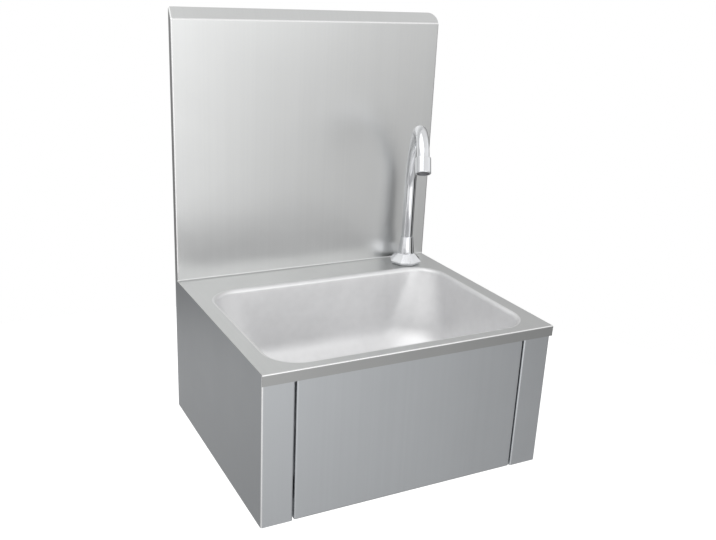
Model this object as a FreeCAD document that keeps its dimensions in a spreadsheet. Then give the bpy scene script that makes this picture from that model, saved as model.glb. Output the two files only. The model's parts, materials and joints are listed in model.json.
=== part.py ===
import FreeCAD, Part
import math
import os
import Sketcher
from FreeCAD import Placement, Rotation, Vector

# Wall-hung hand wash sink worked by the knee. Millimetres; +X to the viewer's right, -Y to the front,
# +Z up. The origin is on the wall, on the deck's centre line, level with the cabinet's bottom edge.

SIZES = {
    # deck and splashback, one folded sheet
    "deck_width": (400, "deck and splashback, side to side"),
    "deck_depth": (335, "wall to the front of the deck's lip"),
    "cabinet_height": (197, "cabinet's bottom edge to the top of the deck"),
    "splash_height": (351, "deck to the bend at the top of the splashback"),
    "stand_off": (10, "wall to the front of the splashback"),
    "return_rise": (15, "rise of the sloping return above the top bend"),
    "sheet_gauge": (1, "thickness of the folded sheets"),
    "bend_radius": (2, "outer radius of a fold"),
    "lip_height": (14, "height of the lip folded down round the deck"),
    "lip_gap": (0.3, "lip to the cabinet's front behind it"),
    "right_corner": (14, "rounding of the return's right end"),
    # cabinet
    "side_overhang": (3.4, "deck's right end beyond the cabinet; the left ends are flush"),
    "stile_width": (40.2, "width of the front strip beside each slot"),
    "slot_width": (2, "width of each upright slot"),
    "stile_return": (12, "depth of the fold behind each slot, from the front"),
    "top_flange": (12, "width of the flange that carries the deck"),
    "top_flange_end": (22, "top flange to the wall and to the cabinet's front"),
    # bowl
    "bowl_side": (20, "deck beside the bowl opening"),
    "bowl_front": (13, "deck in front of the bowl opening"),
    "bowl_behind": (65, "deck behind the bowl opening"),
    "bowl_corner": (45, "corner radius of the bowl opening"),
    "bowl_depth": (125, "deck to the bowl's floor"),
    "bowl_inset": (21, "opening to the wall's foot, from draft and roll"),
    "floor_corner": (55, "corner radius where the walls would meet the floor"),
    "floor_fillet": (48, "radius between walls and floor"),
    "rim_roll": (5.9, "radius of the rim's rounded edge"),
    "rim_land": (0.1, "flat edge outside the rim's rounding"),
    "recess_radius": (43, "radius of the drain recess"),
    "recess_drop": (4, "depth of the drain recess"),
    "recess_edge": (1.6, "rounding of the drain recess"),
    "drain_radius": (25, "radius of the hole in the drain recess"),
    # wall rails
    "rail_gauge": (1.5, "thickness of the rails"),
    "rail_flange": (15, "depth of a rail's flange"),
    "upper_rail_height": (56, "height of the upper wall rail"),
    "lower_rail_height": (32, "height of the lower wall rail"),
    "rail_tab": (14, "depth of the tabs that join a rail to the sides"),
    "fixing_pitch": (260, "wall fixings, side to side"),
    "fixing_low": (16, "height of the lower wall fixings"),
    "fixing_drop": (31, "underside of the deck to the upper wall fixings"),
    "fixing_radius": (4.25, "radius of the wall fixing holes"),
    # knee flap and its hinge
    "hinge_drop": (7, "top of the deck to the hinge line"),
    "hinge_inset": (6, "flap's front to the hinge line"),
    "flap_fold": (12, "depth of the folds round the flap"),
    "top_fold_end": (5, "flap's top fold to its ears, clear of the hinge pins"),
    "ear_radius": (5, "radius of the flap's hinge ears"),
    "pin_radius": (2.5, "radius of the hinge pins"),
    "pin_head_radius": (4.5, "radius of the hinge pins' heads"),
    "pin_head": (2, "thickness of the hinge pins' heads"),
    "hinge_play": (0.05, "radial clearance of a hinge pin in its bush"),
    "bush_wall": (1, "wall of a hinge bush"),
    "bush_flange": (0.8, "thickness of a hinge bush's flange"),
    "bush_flange_radius": (4.4, "radius of a hinge bush's flange"),
    "bush_length": (3.5, "length of a hinge bush"),
    "clip_thickness": (0.8, "thickness of a hinge clip"),
    "clip_radius": (4.3, "radius of a hinge clip"),
    "clip_gap": (0.2, "hinge bush to its clip"),
    "pin_tail": (1, "hinge pin beyond its clip"),
    "tab_low": (20, "cabinet's bottom edge to the stop tabs"),
    "tab_height": (30, "height of the stop tabs"),
    "tab_reach": (10, "reach of a stop tab behind its stile"),
    "stop_gap": (0.3, "stop tab to its rubber at rest"),
    "stop_back": (3.6, "rubber behind the stile's fold"),
    "stop_grip": (4.4, "rubber beside the stile's fold"),
    "stop_width": (7, "width of a stop rubber"),
    "stop_inset": (3, "stop rubber's ends inside the stop tab's"),
    # pusher on the flap
    "pusher_size": (40, "width and height of the pusher channel"),
    "pusher_depth": (12, "depth of the pusher channel"),
    "screw_radius": (4, "radius of the adjusting screw"),
    "screw_flats": (13, "across the flats of the adjusting screw and its nut"),
    "screw_head": (5.3, "thickness of the adjusting screw's head"),
    "screw_nut": (6, "thickness of the adjusting screw's nut"),
    "cap_radius": (7, "radius of the rubber cap on the screw"),
    "cap_length": (11.7, "length of the rubber cap"),
    "cap_end": (4.7, "thickness of the rubber cap's end"),
    "cap_rounding": (4.4, "rounding of the rubber cap's end"),
    "touch_gap": (0.3, "rubber cap to the valve's button at rest"),
    # knee valve
    "valve_inset": (110, "deck's right end to the knee valve"),
    "valve_height": (44, "cabinet's bottom edge to the knee valve"),
    "cross_rail_set": (78.7, "cabinet's front to the cross rail's back face"),
    "cross_rail_height": (44, "height of the cross rail"),
    "cross_rail_depth": (12, "depth of the cross rail's flanges"),
    "neck_radius": (13, "radius of the valve's threaded neck"),
    "neck_play": (0.1, "radial clearance round the valve's neck"),
    "neck_length": (20, "length of the valve's threaded neck"),
    "shoulder_radius": (17, "radius of the valve's shoulder"),
    "shoulder_length": (6, "thickness of the valve's shoulder"),
    "barrel_radius": (15, "radius of the valve's barrel"),
    "barrel_length": (59, "length of the valve's barrel, past the shoulder"),
    "valve_nut_wall": (4, "wall of the valve's panel nut at its flats"),
    "valve_nut": (6, "thickness of the valve's panel nut"),
    "outlet_bore": (10, "radius of the valve's outlet chamber"),
    "seat_setback": (27, "cross rail's back face to the valve's seat"),
    "seat_thickness": (3, "thickness of the valve's seat"),
    "seat_bore": (6, "radius of the hole in the valve's seat"),
    "inlet_bore": (11, "radius of the valve's inlet chamber"),
    "inlet_chamber": (31, "length of the valve's inlet chamber"),
    "bonnet_flats": (26, "across the flats of the bonnet"),
    "bonnet_head": (6, "thickness of the bonnet's hexagon"),
    "bonnet_plug": (8, "length of the bonnet inside the neck"),
    "stem_radius": (4, "radius of the valve's stem"),
    "stem_play": (0.06, "radial clearance of the stem in the bonnet"),
    "button_radius": (9, "radius of the valve's button"),
    "button_length": (6, "length of the valve's button"),
    "button_edge": (1.2, "rounding of the valve's button"),
    "stem_free": (14, "bare stem between button and bonnet at rest"),
    "seal_radius": (8.5, "radius of the valve's seal"),
    "seal_thickness": (4, "thickness of the valve's seal"),
    "seal_gap": (0.05, "valve's seat to its seal"),
    "backing_radius": (9, "radius of the plate behind the seal"),
    "backing_thickness": (3, "thickness of the plate behind the seal"),
    "spring_wire": (0.6, "radius of the spring's wire"),
    "spring_radius": (7, "mean radius of the valve's spring"),
    "spring_turns": (5, "turns of the valve's spring"),
    "spring_seat": (0.1, "clearance at each end of the spring"),
    # pipework
    "port_setback": (17, "cross rail's back face to the outlet port"),
    "port_radius": (8, "radius of the outlet port"),
    "port_length": (12, "outlet port beyond the barrel"),
    "pipe_bore": (4, "bore of the ports and pipes"),
    "stub_radius": (9, "radius of the threaded stubs on the feed pipe"),
    "stub_length": (12, "length of the threaded stubs"),
    "feed_radius": (5, "radius of the feed pipe"),
    "pipe_nut_flats": (24, "across the flats of the feed pipe's nuts"),
    "pipe_nut": (14, "length of the feed pipe's nuts"),
    "pipe_nut_cover": (10, "stub inside a pipe nut"),
    "tee_back": (45, "wall to the mixing tee"),
    "tee_radius": (11, "radius of the mixing tee's body"),
    "inlet_pitch": (50, "hot inlet to cold inlet"),
    "tee_end": (12, "mixing tee beyond each inlet"),
    "check_flats": (24, "across the flats of a check valve"),
    "check_hex": (12, "length of a check valve's hexagon"),
    "inlet_radius": (10.48, "radius of the half inch thread"),
    "clamp_thread": (7.5, "inlet thread inside the shelf and its nut"),
    "relief": (1, "length of the groove above the free thread"),
    "relief_depth": (0.9, "depth of the groove above the free thread"),
    "inlet_thread": (9.5, "length of each inlet's free thread"),
    "inlet_bore_radius": (7, "bore of the water inlets"),
    "shelf_play": (0.3, "radial clearance of the shelf's holes"),
    "shelf_side": (16, "shelf beyond each inlet, sideways"),
    "shelf_front": (18, "shelf in front of the inlets"),
    "back_nut_flats": (27, "across the flats of the inlets' nuts"),
    "back_nut": (5.5, "thickness of the inlets' nuts"),
    "hose_radius": (5.5, "radius of the braided hose"),
    "hose_wall": (1.7, "wall of the braided hose"),
    "hose_nut_flats": (19, "across the flats of the hose's lower nut"),
    "hose_nut": (12, "length of the hose's nuts"),
    "hose_nut_cover": (8, "thread inside a hose nut"),
    "ferrule_radius": (7, "radius of the hose's ferrules"),
    "ferrule": (13, "length of the hose's ferrules"),
    "hose_bend": (40, "radius of the hose's bends"),
    "hose_side": (22.6, "cabinet's right side to the hose's outermost run"),
    "hose_turn": (125, "wall to the end of the hose's outermost run"),
    "hose_low": (62, "height of the hose under the tap"),
    # tap
    "tap_inset": (49.5, "deck's right end to the tap"),
    "tap_back": (41, "wall to the tap"),
    "tap_hole": (11, "radius of the tap hole"),
    "gasket_thickness": (0.6, "thickness of the gasket under the tap"),
    "gasket_radius": (19.5, "radius of the gasket under the tap"),
    "base_foot_flats": (41, "across the flats of the tap's base at the deck"),
    "base_flats": (45.5, "across the flats of the tap's base at its widest"),
    "base_step": (0.3, "step from the tap's base in to its collar"),
    "base_foot": (4, "height of the widest part of the tap's base"),
    "base_height": (15, "height of the tap's base"),
    "collar_foot_wall": (2.2, "wall of the collar at its foot"),
    "collar_top_wall": (0.84, "wall of the collar at its top"),
    "collar_height": (26, "height of the collar"),
    "collar_edge": (0.8, "rounding of the collar's top"),
    "shank_radius": (10.4, "radius of the tap's threaded shank"),
    "shank_drop": (45, "tap's shank below the top of the deck"),
    "shank_bore": (4, "bore of the tap's shank"),
    "shank_rise": (3, "shank above the tap's base"),
    "spigot_radius": (6.6, "radius of the spigot inside the spout"),
    "spigot_rise": (21, "spigot above the tap's base"),
    "backing_size": (42, "width of the plate under the tap hole"),
    "backing_plate": (2, "thickness of the plate under the tap hole"),
    "washer_radius": (17, "radius of the tap's washers"),
    "rubber_washer": (2, "thickness of the tap's rubber washer"),
    "steel_washer": (1.5, "thickness of the tap's steel washer"),
    "shank_nut_flats": (27, "across the flats of the tap's nut"),
    "shank_nut": (8, "thickness of the tap's nut"),
    "tail_nut_flats": (26, "across the flats of the hose's upper nut"),
    # spout
    "spout_radius": (8.5, "radius of the spout's tube"),
    "spout_bore": (7.3, "inner radius of the spout's tube"),
    "spout_play": (0.06, "radial clearance of the spout in its collar"),
    "spout_foot": (3.3, "tap's base to the foot of the spout"),
    "spout_riser": (115, "deck to the top of the straight riser"),
    "first_bend": (110, "radius of the spout's first bend"),
    "first_angle": (54, "turn of the spout's first bend"),
    "second_bend": (48, "radius of the spout's second bend"),
    "second_angle": (96.5, "turn of the spout's second bend"),
    "spout_end": (26, "straight end of the spout with its aerator"),
    "spout_heading": (-114.2, "way the spout points, from +X"),
    "swivel_bush": (4, "height of the spout's swivel bush"),
    "swivel_bush_wall": (1.4, "wall of the spout's swivel bush"),
    "swivel_play": (0.1, "clearance round the swivel bush"),
    "o_ring": (1, "radius of an O-ring's section"),
    "o_ring_side": (0.1, "groove beside each O-ring"),
    "o_ring_play": (0.06, "clearance of the O-rings in the spout"),
    "o_ring_first": (8, "tap's base to the first O-ring"),
    "o_ring_pitch": (6, "first O-ring to the second"),
    "aerator_wall": (2.1, "wall of the aerator's housing round the spout"),
    "aerator_length": (22, "length of the aerator's housing"),
    "aerator_cover": (9, "spout inside the aerator's housing"),
    "aerator_edge": (0.8, "rounding of the aerator's housing"),
    "aerator_lip": (1.7, "wall of the aerator's housing at its mouth"),
    "aerator_recess": (1.5, "aerator's insert inside its mouth"),
    "aerator_insert": (7.5, "length of the aerator's insert"),
    "aerator_gasket": (2, "thickness of the aerator's gasket"),
    "mesh_hole": (0.6, "radius of the aerator's smallest openings"),
    "mesh_ring": (2.4, "spacing of the rings of openings"),
    # waste
    "waste_flange": (35, "radius of the waste's flanges"),
    "strainer_thickness": (1.2, "thickness of the strainer"),
    "strainer_dish": (2.2, "drop of the strainer's middle below its rim"),
    "strainer_dish_radius": (22, "radius of the strainer's middle"),
    "strainer_hole": (2.4, "radius of the strainer's holes"),
    "strainer_inner": (9.5, "radius of the strainer's inner ring of holes"),
    "strainer_outer": (16.5, "radius of the strainer's outer ring of holes"),
    "upper_gasket": (1.4, "thickness of the gasket under the strainer"),
    "lower_gasket": (2, "thickness of the gasket under the bowl"),
    "waste_rim": (4, "thickness of the waste body's flange"),
    "waste_cup": (27, "radius of the waste's cup"),
    "waste_cup_bore": (24, "inner radius of the waste's cup"),
    "waste_cup_depth": (20, "depth of the waste's cup"),
    "waste_cone": (6, "height of the cup's sloping foot"),
    "waste_thread": (23.9, "radius of the inch and a half thread"),
    "waste_bore": (20, "inner radius of the waste's outlet"),
    "waste_outlet": (32, "length of the waste's thread"),
    "waste_bar": (7, "width and height of the bar that holds the screw"),
    "waste_screw": (3, "radius of the waste's screw"),
    "waste_screw_head": (7, "radius of the waste's screw head"),
    "waste_screw_top": (2.4, "height of the waste's screw head"),
}

doc = FreeCAD.newDocument("hand_wash_sink")
sheet = doc.addObject("Spreadsheet::Sheet", "sizes")
sheet.Label = "sizes"
for row, (alias, (number, meaning)) in enumerate(SIZES.items(), start=1):
    sheet.set(f"A{row}", meaning)
    sheet.set(f"B{row}", str(number))
    sheet.setAlias(f"B{row}", alias)
doc.recompute()


class Size:
    """A number together with the formula that ties it to the sheet."""

    def __init__(self, value, formula):
        self.value = value
        self.formula = formula

    def __add__(self, other):
        other = as_size(other)
        return Size(self.value + other.value, f"({self.formula} + {other.formula})")

    def __sub__(self, other):
        other = as_size(other)
        return Size(self.value - other.value, f"({self.formula} - {other.formula})")

    def __mul__(self, other):
        other = as_size(other)
        return Size(self.value * other.value, f"({self.formula} * {other.formula})")

    def __truediv__(self, other):
        other = as_size(other)
        return Size(self.value / other.value, f"({self.formula} / {other.formula})")

    def __radd__(self, other):
        return as_size(other) + self

    def __rsub__(self, other):
        return as_size(other) - self

    def __rmul__(self, other):
        return as_size(other) * self

    def __neg__(self):
        return Size(-self.value, f"(0 - {self.formula})")

    def __lt__(self, other):
        return self.value < as_size(other).value


def as_size(number):
    return number if isinstance(number, Size) else Size(float(number), repr(float(number)))


def sine(angle):
    angle = as_size(angle)
    return Size(math.sin(math.radians(angle.value)), f"sin({angle.formula})")


def cosine(angle):
    angle = as_size(angle)
    return Size(math.cos(math.radians(angle.value)), f"cos({angle.formula})")


def root(number):
    number = as_size(number)
    return Size(math.sqrt(number.value), f"sqrt({number.formula})")


class Sheet:
    """Sheet values by name, such as S.deck_width."""

    def __getattr__(self, alias):
        return Size(float(sheet.get(alias)), f"sizes.{alias}")


S = Sheet()


def tie(thing, prop, size):
    """Give a property its value and, if it comes from the sheet, its formula."""
    thing.setExpression(prop, as_size(size).formula)


def place(thing, at, axis=Vector(0, 0, 1), angle=0.0, rotation=None):
    """Put a thing at a point whose coordinates are tied to the sheet."""
    at = [as_size(c) for c in at]
    turn = rotation or Rotation(axis, angle)
    thing.Placement = Placement(Vector(*(c.value for c in at)), turn)
    for letter, coordinate in zip("xyz", at):
        tie(thing, f"Placement.Base.{letter}", coordinate)


# ---------------------------------------------------------------- bodies, sketches and features

AXES = {
    "+X": Rotation(Vector(0, 0, 1), Vector(1, 0, 0)),
    "-X": Rotation(Vector(0, 0, 1), Vector(-1, 0, 0)),
    "+Y": Rotation(Vector(0, 0, 1), Vector(0, 1, 0)),
    "-Y": Rotation(Vector(0, 0, 1), Vector(0, -1, 0)),
    "+Z": Rotation(),
    "-Z": Rotation(Vector(1, 0, 0), 180),
}
parts_made = []


def new_body(label, whole=True):
    """A body; one that isn't whole is only a step towards a sub-part and isn't written out."""
    body = doc.addObject("PartDesign::Body", label)
    body.Label = label
    if whole:
        parts_made.append(body)
    return body


def difference(label, base, tool):
    cut = doc.addObject("Part::Cut", label)
    cut.Label = label
    cut.Base = base
    cut.Tool = tool
    parts_made.append(cut)
    return cut


def new_sketch(body, plane, offset=0):
    sketch = body.newObject("Sketcher::SketchObject", f"{body.Name}_sketch")
    support = next(f for f in body.Origin.OriginFeatures if f.Role == f"{plane}_Plane")
    sketch.AttachmentSupport = (support, [""])
    sketch.MapMode = "FlatFace"
    tie(sketch, "AttachmentOffset.Base.z", offset)
    return sketch


def fix(sketch, kind, *where, size):
    """A constraint whose value is tied to the sheet."""
    index = sketch.addConstraint(Sketcher.Constraint(kind, *where, as_size(size).value))
    tie(sketch, f"Constraints[{index}]", size)


def polygon(sketch, points):
    """A closed outline of straight lines through points whose coordinates are tied to the sheet."""
    points = [(as_size(a), as_size(b)) for a, b in points]
    count = len(points)
    first = sketch.GeometryCount
    corners = [Vector(a.value, b.value, 0) for a, b in points]
    for i in range(count):
        sketch.addGeometry(Part.LineSegment(corners[i], corners[(i + 1) % count]), False)
    for i, (a, b) in enumerate(points):
        line = first + i
        sketch.addConstraint(Sketcher.Constraint("Coincident", line, 2, first + (i + 1) % count, 1))
        fix(sketch, "DistanceX", -1, 1, line, 1, size=a)
        fix(sketch, "DistanceY", -1, 1, line, 1, size=b)


def circle(sketch, centre, radius):
    centre = [as_size(c) for c in centre]
    radius = as_size(radius)
    middle = Vector(centre[0].value, centre[1].value, 0)
    index = sketch.addGeometry(Part.Circle(middle, Vector(0, 0, 1), radius.value), False)
    fix(sketch, "DistanceX", -1, 1, index, 3, size=centre[0])
    fix(sketch, "DistanceY", -1, 1, index, 3, size=centre[1])
    fix(sketch, "Radius", index, size=radius)


def rounded_rectangle(sketch, low, high, corner):
    """A rectangle with round corners, from its low corner to its high corner."""
    x0, y0 = (as_size(c) for c in low)
    x1, y1 = (as_size(c) for c in high)
    r = as_size(corner)
    a, b, c, d, k = x0.value, y0.value, x1.value, y1.value, r.value
    ends = [((a + k, b), (c - k, b)), ((c, b + k), (c, d - k)), ((c - k, d), (a + k, d)), ((a, d - k), (a, b + k))]
    middles = [(c - k, b + k), (c - k, d - k), (a + k, d - k), (a + k, b + k)]
    for side, (start, stop) in enumerate(ends):
        sketch.addGeometry(Part.LineSegment(Vector(*start, 0), Vector(*stop, 0)), False)
        round_corner = Part.Circle(Vector(*middles[side], 0), Vector(0, 0, 1), k)
        first_angle = math.radians(90 * side - 90)
        sketch.addGeometry(Part.ArcOfCircle(round_corner, first_angle, first_angle + math.pi / 2), False)
    for side in range(4):
        line = 2 * side
        sketch.addConstraint(Sketcher.Constraint("Tangent", line, 2, line + 1, 1))
        sketch.addConstraint(Sketcher.Constraint("Tangent", line + 1, 2, (line + 2) % 8, 1))
        sketch.addConstraint(Sketcher.Constraint("Vertical" if side % 2 else "Horizontal", line))
    for side in range(1, 4):
        sketch.addConstraint(Sketcher.Constraint("Equal", 1, 2 * side + 1))
    fix(sketch, "Radius", 1, size=r)
    fix(sketch, "DistanceY", -1, 1, 0, 1, size=y0)
    fix(sketch, "DistanceX", -1, 1, 2, 1, size=x1)
    fix(sketch, "DistanceY", -1, 1, 4, 1, size=y1)
    fix(sketch, "DistanceX", -1, 1, 6, 1, size=x0)


def extrude(body, sketch, length, reverse=False, cutting=False):
    """Pad a sketch along its normal, or cut with it; reverse goes against the normal."""
    kind = "Pocket" if cutting else "Pad"
    feature = body.newObject(f"PartDesign::{kind}", f"{body.Name}_{kind.lower()}")
    feature.Profile = sketch
    tie(feature, "Length", length)
    feature.Reversed = not reverse if cutting else reverse
    return feature


def plate(body, plane, points, start, length, cutting=False):
    """An outline on a plane, taken from start along the plane's normal for a length."""
    sketch = new_sketch(body, plane, start)
    polygon(sketch, points)
    return extrude(body, sketch, length, cutting=cutting)


def disc(body, plane, centre, radius, start, length, cutting=False):
    sketch = new_sketch(body, plane, start)
    circle(sketch, centre, radius)
    return extrude(body, sketch, length, cutting=cutting)


def turned(body, points, cutting=False):
    """A solid of revolution about the body's Z axis, from an outline of (radius, height) points."""
    sketch = new_sketch(body, "XZ")
    polygon(sketch, points)
    kind = "Groove" if cutting else "Revolution"
    feature = body.newObject(f"PartDesign::{kind}", f"{body.Name}_{kind.lower()}")
    feature.Profile = sketch
    feature.ReferenceAxis = (sketch, ["V_Axis"])
    feature.Angle = 360
    return feature


def hexagon(flats):
    """The corners of a hexagon, flats up and down, from the distance across its flats."""
    corner = as_size(flats) / root(3)
    return [(corner * cosine(60 * i), corner * sine(60 * i)) for i in range(6)]


def edges_where(shape, test):
    return [f"Edge{i}" for i, edge in enumerate(shape.Edges, start=1) if test(edge)]


def soften(body, radius, test, kind="Fillet"):
    """Round or bevel the edges of the body's tip that pass a test."""
    doc.recompute()
    base = body.Tip
    names = edges_where(base.Shape, test)
    if not names:
        raise RuntimeError(f"{body.Label}: no edge passes the test")
    feature = body.newObject(f"PartDesign::{kind}", f"{body.Name}_{kind.lower()}")
    feature.Base = (base, names)
    tie(feature, "Radius" if kind == "Fillet" else "Size", radius)
    doc.recompute()
    return feature


NEAR = 0.02


def same(first, second):
    return abs(first - as_size(second).value) < NEAR


def curve_kind(edge):
    try:
        return edge.Curve.TypeId
    except TypeError:
        return ""


def runs_at(direction, **where):
    """A test for straight edges along an axis that pass through the given coordinates."""
    along = {"x": Vector(1, 0, 0), "y": Vector(0, 1, 0), "z": Vector(0, 0, 1)}[direction]

    def test(edge):
        ends = [v.Point for v in edge.Vertexes]
        if curve_kind(edge) != "Part::GeomLine" or len(ends) < 2:
            return False
        line = ends[1] - ends[0]
        if line.cross(along).Length > NEAR:
            return False
        return all(same(getattr(ends[0], name), value) for name, value in where.items())

    return test


def any_of(*tests):
    return lambda edge: any(test(edge) for test in tests)


def rings_at(height, radius=None):
    """A test for circular edges round the body's Z axis at a height."""

    def test(edge):
        if curve_kind(edge) != "Part::GeomCircle":
            return False
        centre = edge.Curve.Center
        on_axis = abs(centre.x) < NEAR and abs(centre.y) < NEAR
        fits = radius is None or same(edge.Curve.Radius, radius)
        return on_axis and fits and same(centre.z, height)

    return test


def repeat(body, features, count):
    """Repeat features evenly round the body's Z axis."""
    pattern = body.newObject("PartDesign::PolarPattern", f"{body.Name}_polarpattern")
    pattern.Originals = features
    axis = next(f for f in body.Origin.OriginFeatures if f.Role == "Z_Axis")
    pattern.Axis = (axis, [""])
    pattern.Angle = 360
    pattern.Occurrences = count
    body.Tip = pattern
    return pattern


# ---------------------------------------------------------------- places worked out from the sizes

gauge = S.sheet_gauge
half_deck = S.deck_width / 2
deck_top = S.cabinet_height
deck_under = deck_top - gauge
lip_front = -S.deck_depth
front = -(S.deck_depth - gauge - S.lip_gap)  # the plane of the stiles and the flap
centre_x = -S.side_overhang / 2  # the cabinet's own centre line
half_cabinet = (S.deck_width - S.side_overhang) / 2
half_flap = half_cabinet - S.stile_width - S.slot_width
splash_front = -S.stand_off
splash_top = deck_top + S.splash_height
return_top = splash_top + S.return_rise
hinge_y = front + S.hinge_inset
hinge_z = deck_top - S.hinge_drop
bowl_front = lip_front + S.bowl_front
bowl_back = -S.bowl_behind
half_bowl = half_deck - S.bowl_side
bowl_middle = (bowl_front + bowl_back) / 2
bowl_floor = deck_top - S.bowl_depth
recess_floor = bowl_floor - S.recess_drop
rail_back = front + S.cross_rail_set
valve_x = half_deck - S.valve_inset
rail_front = rail_back - S.rail_gauge
neck_front = rail_back - S.neck_length
bonnet_front = neck_front - S.bonnet_head
button_back = bonnet_front - S.stem_free
button_front = button_back - S.button_length
cap_front = button_front - S.touch_gap  # the end of the rubber cap that meets the button
seat_y = rail_back + S.seat_setback
barrel_end = rail_back + S.shoulder_length + S.barrel_length
inlet_end = barrel_end + S.stub_length
tee_y = -S.tee_back
fold_edge = front + S.stile_return  # the rear edge of the fold behind each slot
tab_front = fold_edge + S.stop_back + S.stop_gap
tap_x = half_deck - S.tap_inset
tap_at = (tap_x, -S.tap_back, deck_top)
bush_outer = S.spout_radius + S.swivel_bush_wall
shank_neck = bush_outer + S.swivel_play  # the shank inside the collar, and the collar's cavity
collar_foot = shank_neck + S.collar_foot_wall
aerator_radius = S.spout_radius + S.aerator_wall
aerator_mouth = aerator_radius - S.aerator_lip
base_top = S.gasket_thickness + S.base_height  # heights above the deck, for the tap
shelf_top = S.valve_height - S.tee_radius - S.check_hex


# ---------------------------------------------------------------- deck and splashback

def make_deck():
    """Top return, splashback, deck and front lip are one folded sheet, with side returns and a right-hand lip."""
    body = new_body("deck_and_splashback")
    slope = root(S.stand_off * S.stand_off + S.return_rise * S.return_rise) / S.stand_off

    def under_return(y):
        return splash_top + (y + S.stand_off) * S.return_rise / S.stand_off - gauge * slope

    back_of_splash = splash_front + gauge
    section = [
        (lip_front, deck_top - S.lip_height),
        (lip_front, deck_top),
        (splash_front, deck_top),
        (splash_front, splash_top),
        (as_size(0), return_top),
        (as_size(0), under_return(as_size(0))),
        (back_of_splash, under_return(back_of_splash)),
        (back_of_splash, deck_under),
        (lip_front + gauge, deck_under),
        (lip_front + gauge, deck_top - S.lip_height),
    ]
    plate(body, "YZ", section, -half_deck, S.deck_width)
    side = [
        (back_of_splash, deck_under),
        (back_of_splash, under_return(back_of_splash)),
        (as_size(0), under_return(as_size(0))),
        (as_size(0), deck_under),
    ]
    plate(body, "YZ", side, -half_deck, gauge)
    plate(body, "YZ", side, half_deck - gauge, gauge)
    right_lip = [
        (lip_front + gauge, deck_top - S.lip_height),
        (lip_front + gauge, deck_under),
        (back_of_splash, deck_under),
        (back_of_splash, deck_top - S.lip_height),
    ]
    plate(body, "YZ", right_lip, half_deck - gauge, gauge)
    foot = runs_at("x", y=splash_front, z=deck_top)
    left_edge = runs_at("z", x=-half_deck, y=splash_front)
    soften(body, S.bend_radius, any_of(foot, left_edge))
    soften(body, S.bend_radius, runs_at("z", x=half_deck, y=splash_front))
    soften(body, S.lip_gap + gauge, runs_at("x", y=lip_front, z=deck_top))
    soften(body, S.bend_radius, runs_at("x", y=splash_front, z=splash_top))
    soften(body, S.lip_gap, runs_at("x", y=lip_front + gauge, z=deck_under))
    opening = new_sketch(body, "XY", deck_under)
    rounded_rectangle(opening, (-half_bowl, bowl_front), (half_bowl, bowl_back), S.bowl_corner)
    extrude(body, opening, gauge, cutting=True)
    disc(body, "XY", (tap_x, -S.tap_back), S.tap_hole, deck_under, gauge, cutting=True)
    corner_outline = new_sketch(body, "XZ", as_size(0))
    outside_corner(corner_outline, half_deck, return_top, S.right_corner)
    extrude(body, corner_outline, S.stand_off + gauge, cutting=True)
    return body


def outside_corner(sketch, x, z, corner):
    """The waste piece outside a round upper right corner: two straight edges and an arc."""
    a, b, k = as_size(x).value, as_size(z).value, as_size(corner).value
    tip, low, near = Vector(a, b, 0), Vector(a, b - k, 0), Vector(a - k, b, 0)
    sketch.addGeometry(Part.LineSegment(low, tip), False)
    sketch.addGeometry(Part.LineSegment(tip, near), False)
    middle = Part.Circle(Vector(a - k, b - k, 0), Vector(0, 0, 1), k)
    sketch.addGeometry(Part.ArcOfCircle(middle, 0.0, math.pi / 2), False)
    sketch.addConstraint(Sketcher.Constraint("Coincident", 0, 2, 1, 1))
    sketch.addConstraint(Sketcher.Constraint("Tangent", 1, 2, 2, 2))
    sketch.addConstraint(Sketcher.Constraint("Tangent", 0, 1, 2, 1))
    sketch.addConstraint(Sketcher.Constraint("Vertical", 0))
    sketch.addConstraint(Sketcher.Constraint("Horizontal", 1))
    fix(sketch, "DistanceX", -1, 1, 0, 2, size=x)
    fix(sketch, "DistanceY", -1, 1, 0, 2, size=z)
    fix(sketch, "Radius", 2, size=corner)


# ---------------------------------------------------------------- bowl

def bowl_section(body, height, inset, corner):
    """A level section of the bowl, inset from its opening."""
    sketch = new_sketch(body, "XY", height)
    half = half_bowl - inset
    rounded_rectangle(sketch, (-half, bowl_front + inset), (half, bowl_back - inset), corner)
    return sketch


def loft(body, sections, cutting=False):
    kind = "SubtractiveLoft" if cutting else "AdditiveLoft"
    feature = body.newObject(f"PartDesign::{kind}", f"{body.Name}_loft")
    feature.Profile = sections[0]
    feature.Sections = sections[1:]
    feature.Ruled = True
    return feature


def level_ring(height, inset=0):
    """A test for level edges at a height that lie inside the opening by at least the inset."""
    half = (half_bowl - inset).value + NEAR
    low, high = (bowl_front + inset).value - NEAR, (bowl_back - inset).value + NEAR

    def test(edge):
        box = edge.BoundBox
        level = same(box.ZMin, height) and same(box.ZMax, height)
        return level and box.XMin > -half and box.XMax < half and box.YMin > low and box.YMax < high

    return test


def bowl_solid(label, top, wall):
    """The bowl's outside or inside as a solid: a plate over tapering walls, a soft floor and the recess.

    The plate starts at a height; the wall is how far inside the sheet's inner face this surface lies.
    """
    body = new_body(label, whole=False)
    roll = S.rim_roll + S.rim_land - wall
    floor = bowl_floor - wall
    extrude(body, bowl_section(body, top, as_size(0), S.bowl_corner), gauge)
    loft(
        body,
        [
            bowl_section(body, top, roll, S.bowl_corner - roll),
            bowl_section(body, floor, S.bowl_inset - wall, S.floor_corner + wall),
        ],
    )
    soften(body, S.floor_fillet + wall, level_ring(floor))
    soften(body, S.rim_roll - wall, level_ring(top, roll))
    centre = (as_size(0), bowl_middle)
    disc(body, "XY", centre, S.recess_radius + wall, recess_floor - wall, S.recess_drop)
    return body


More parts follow.
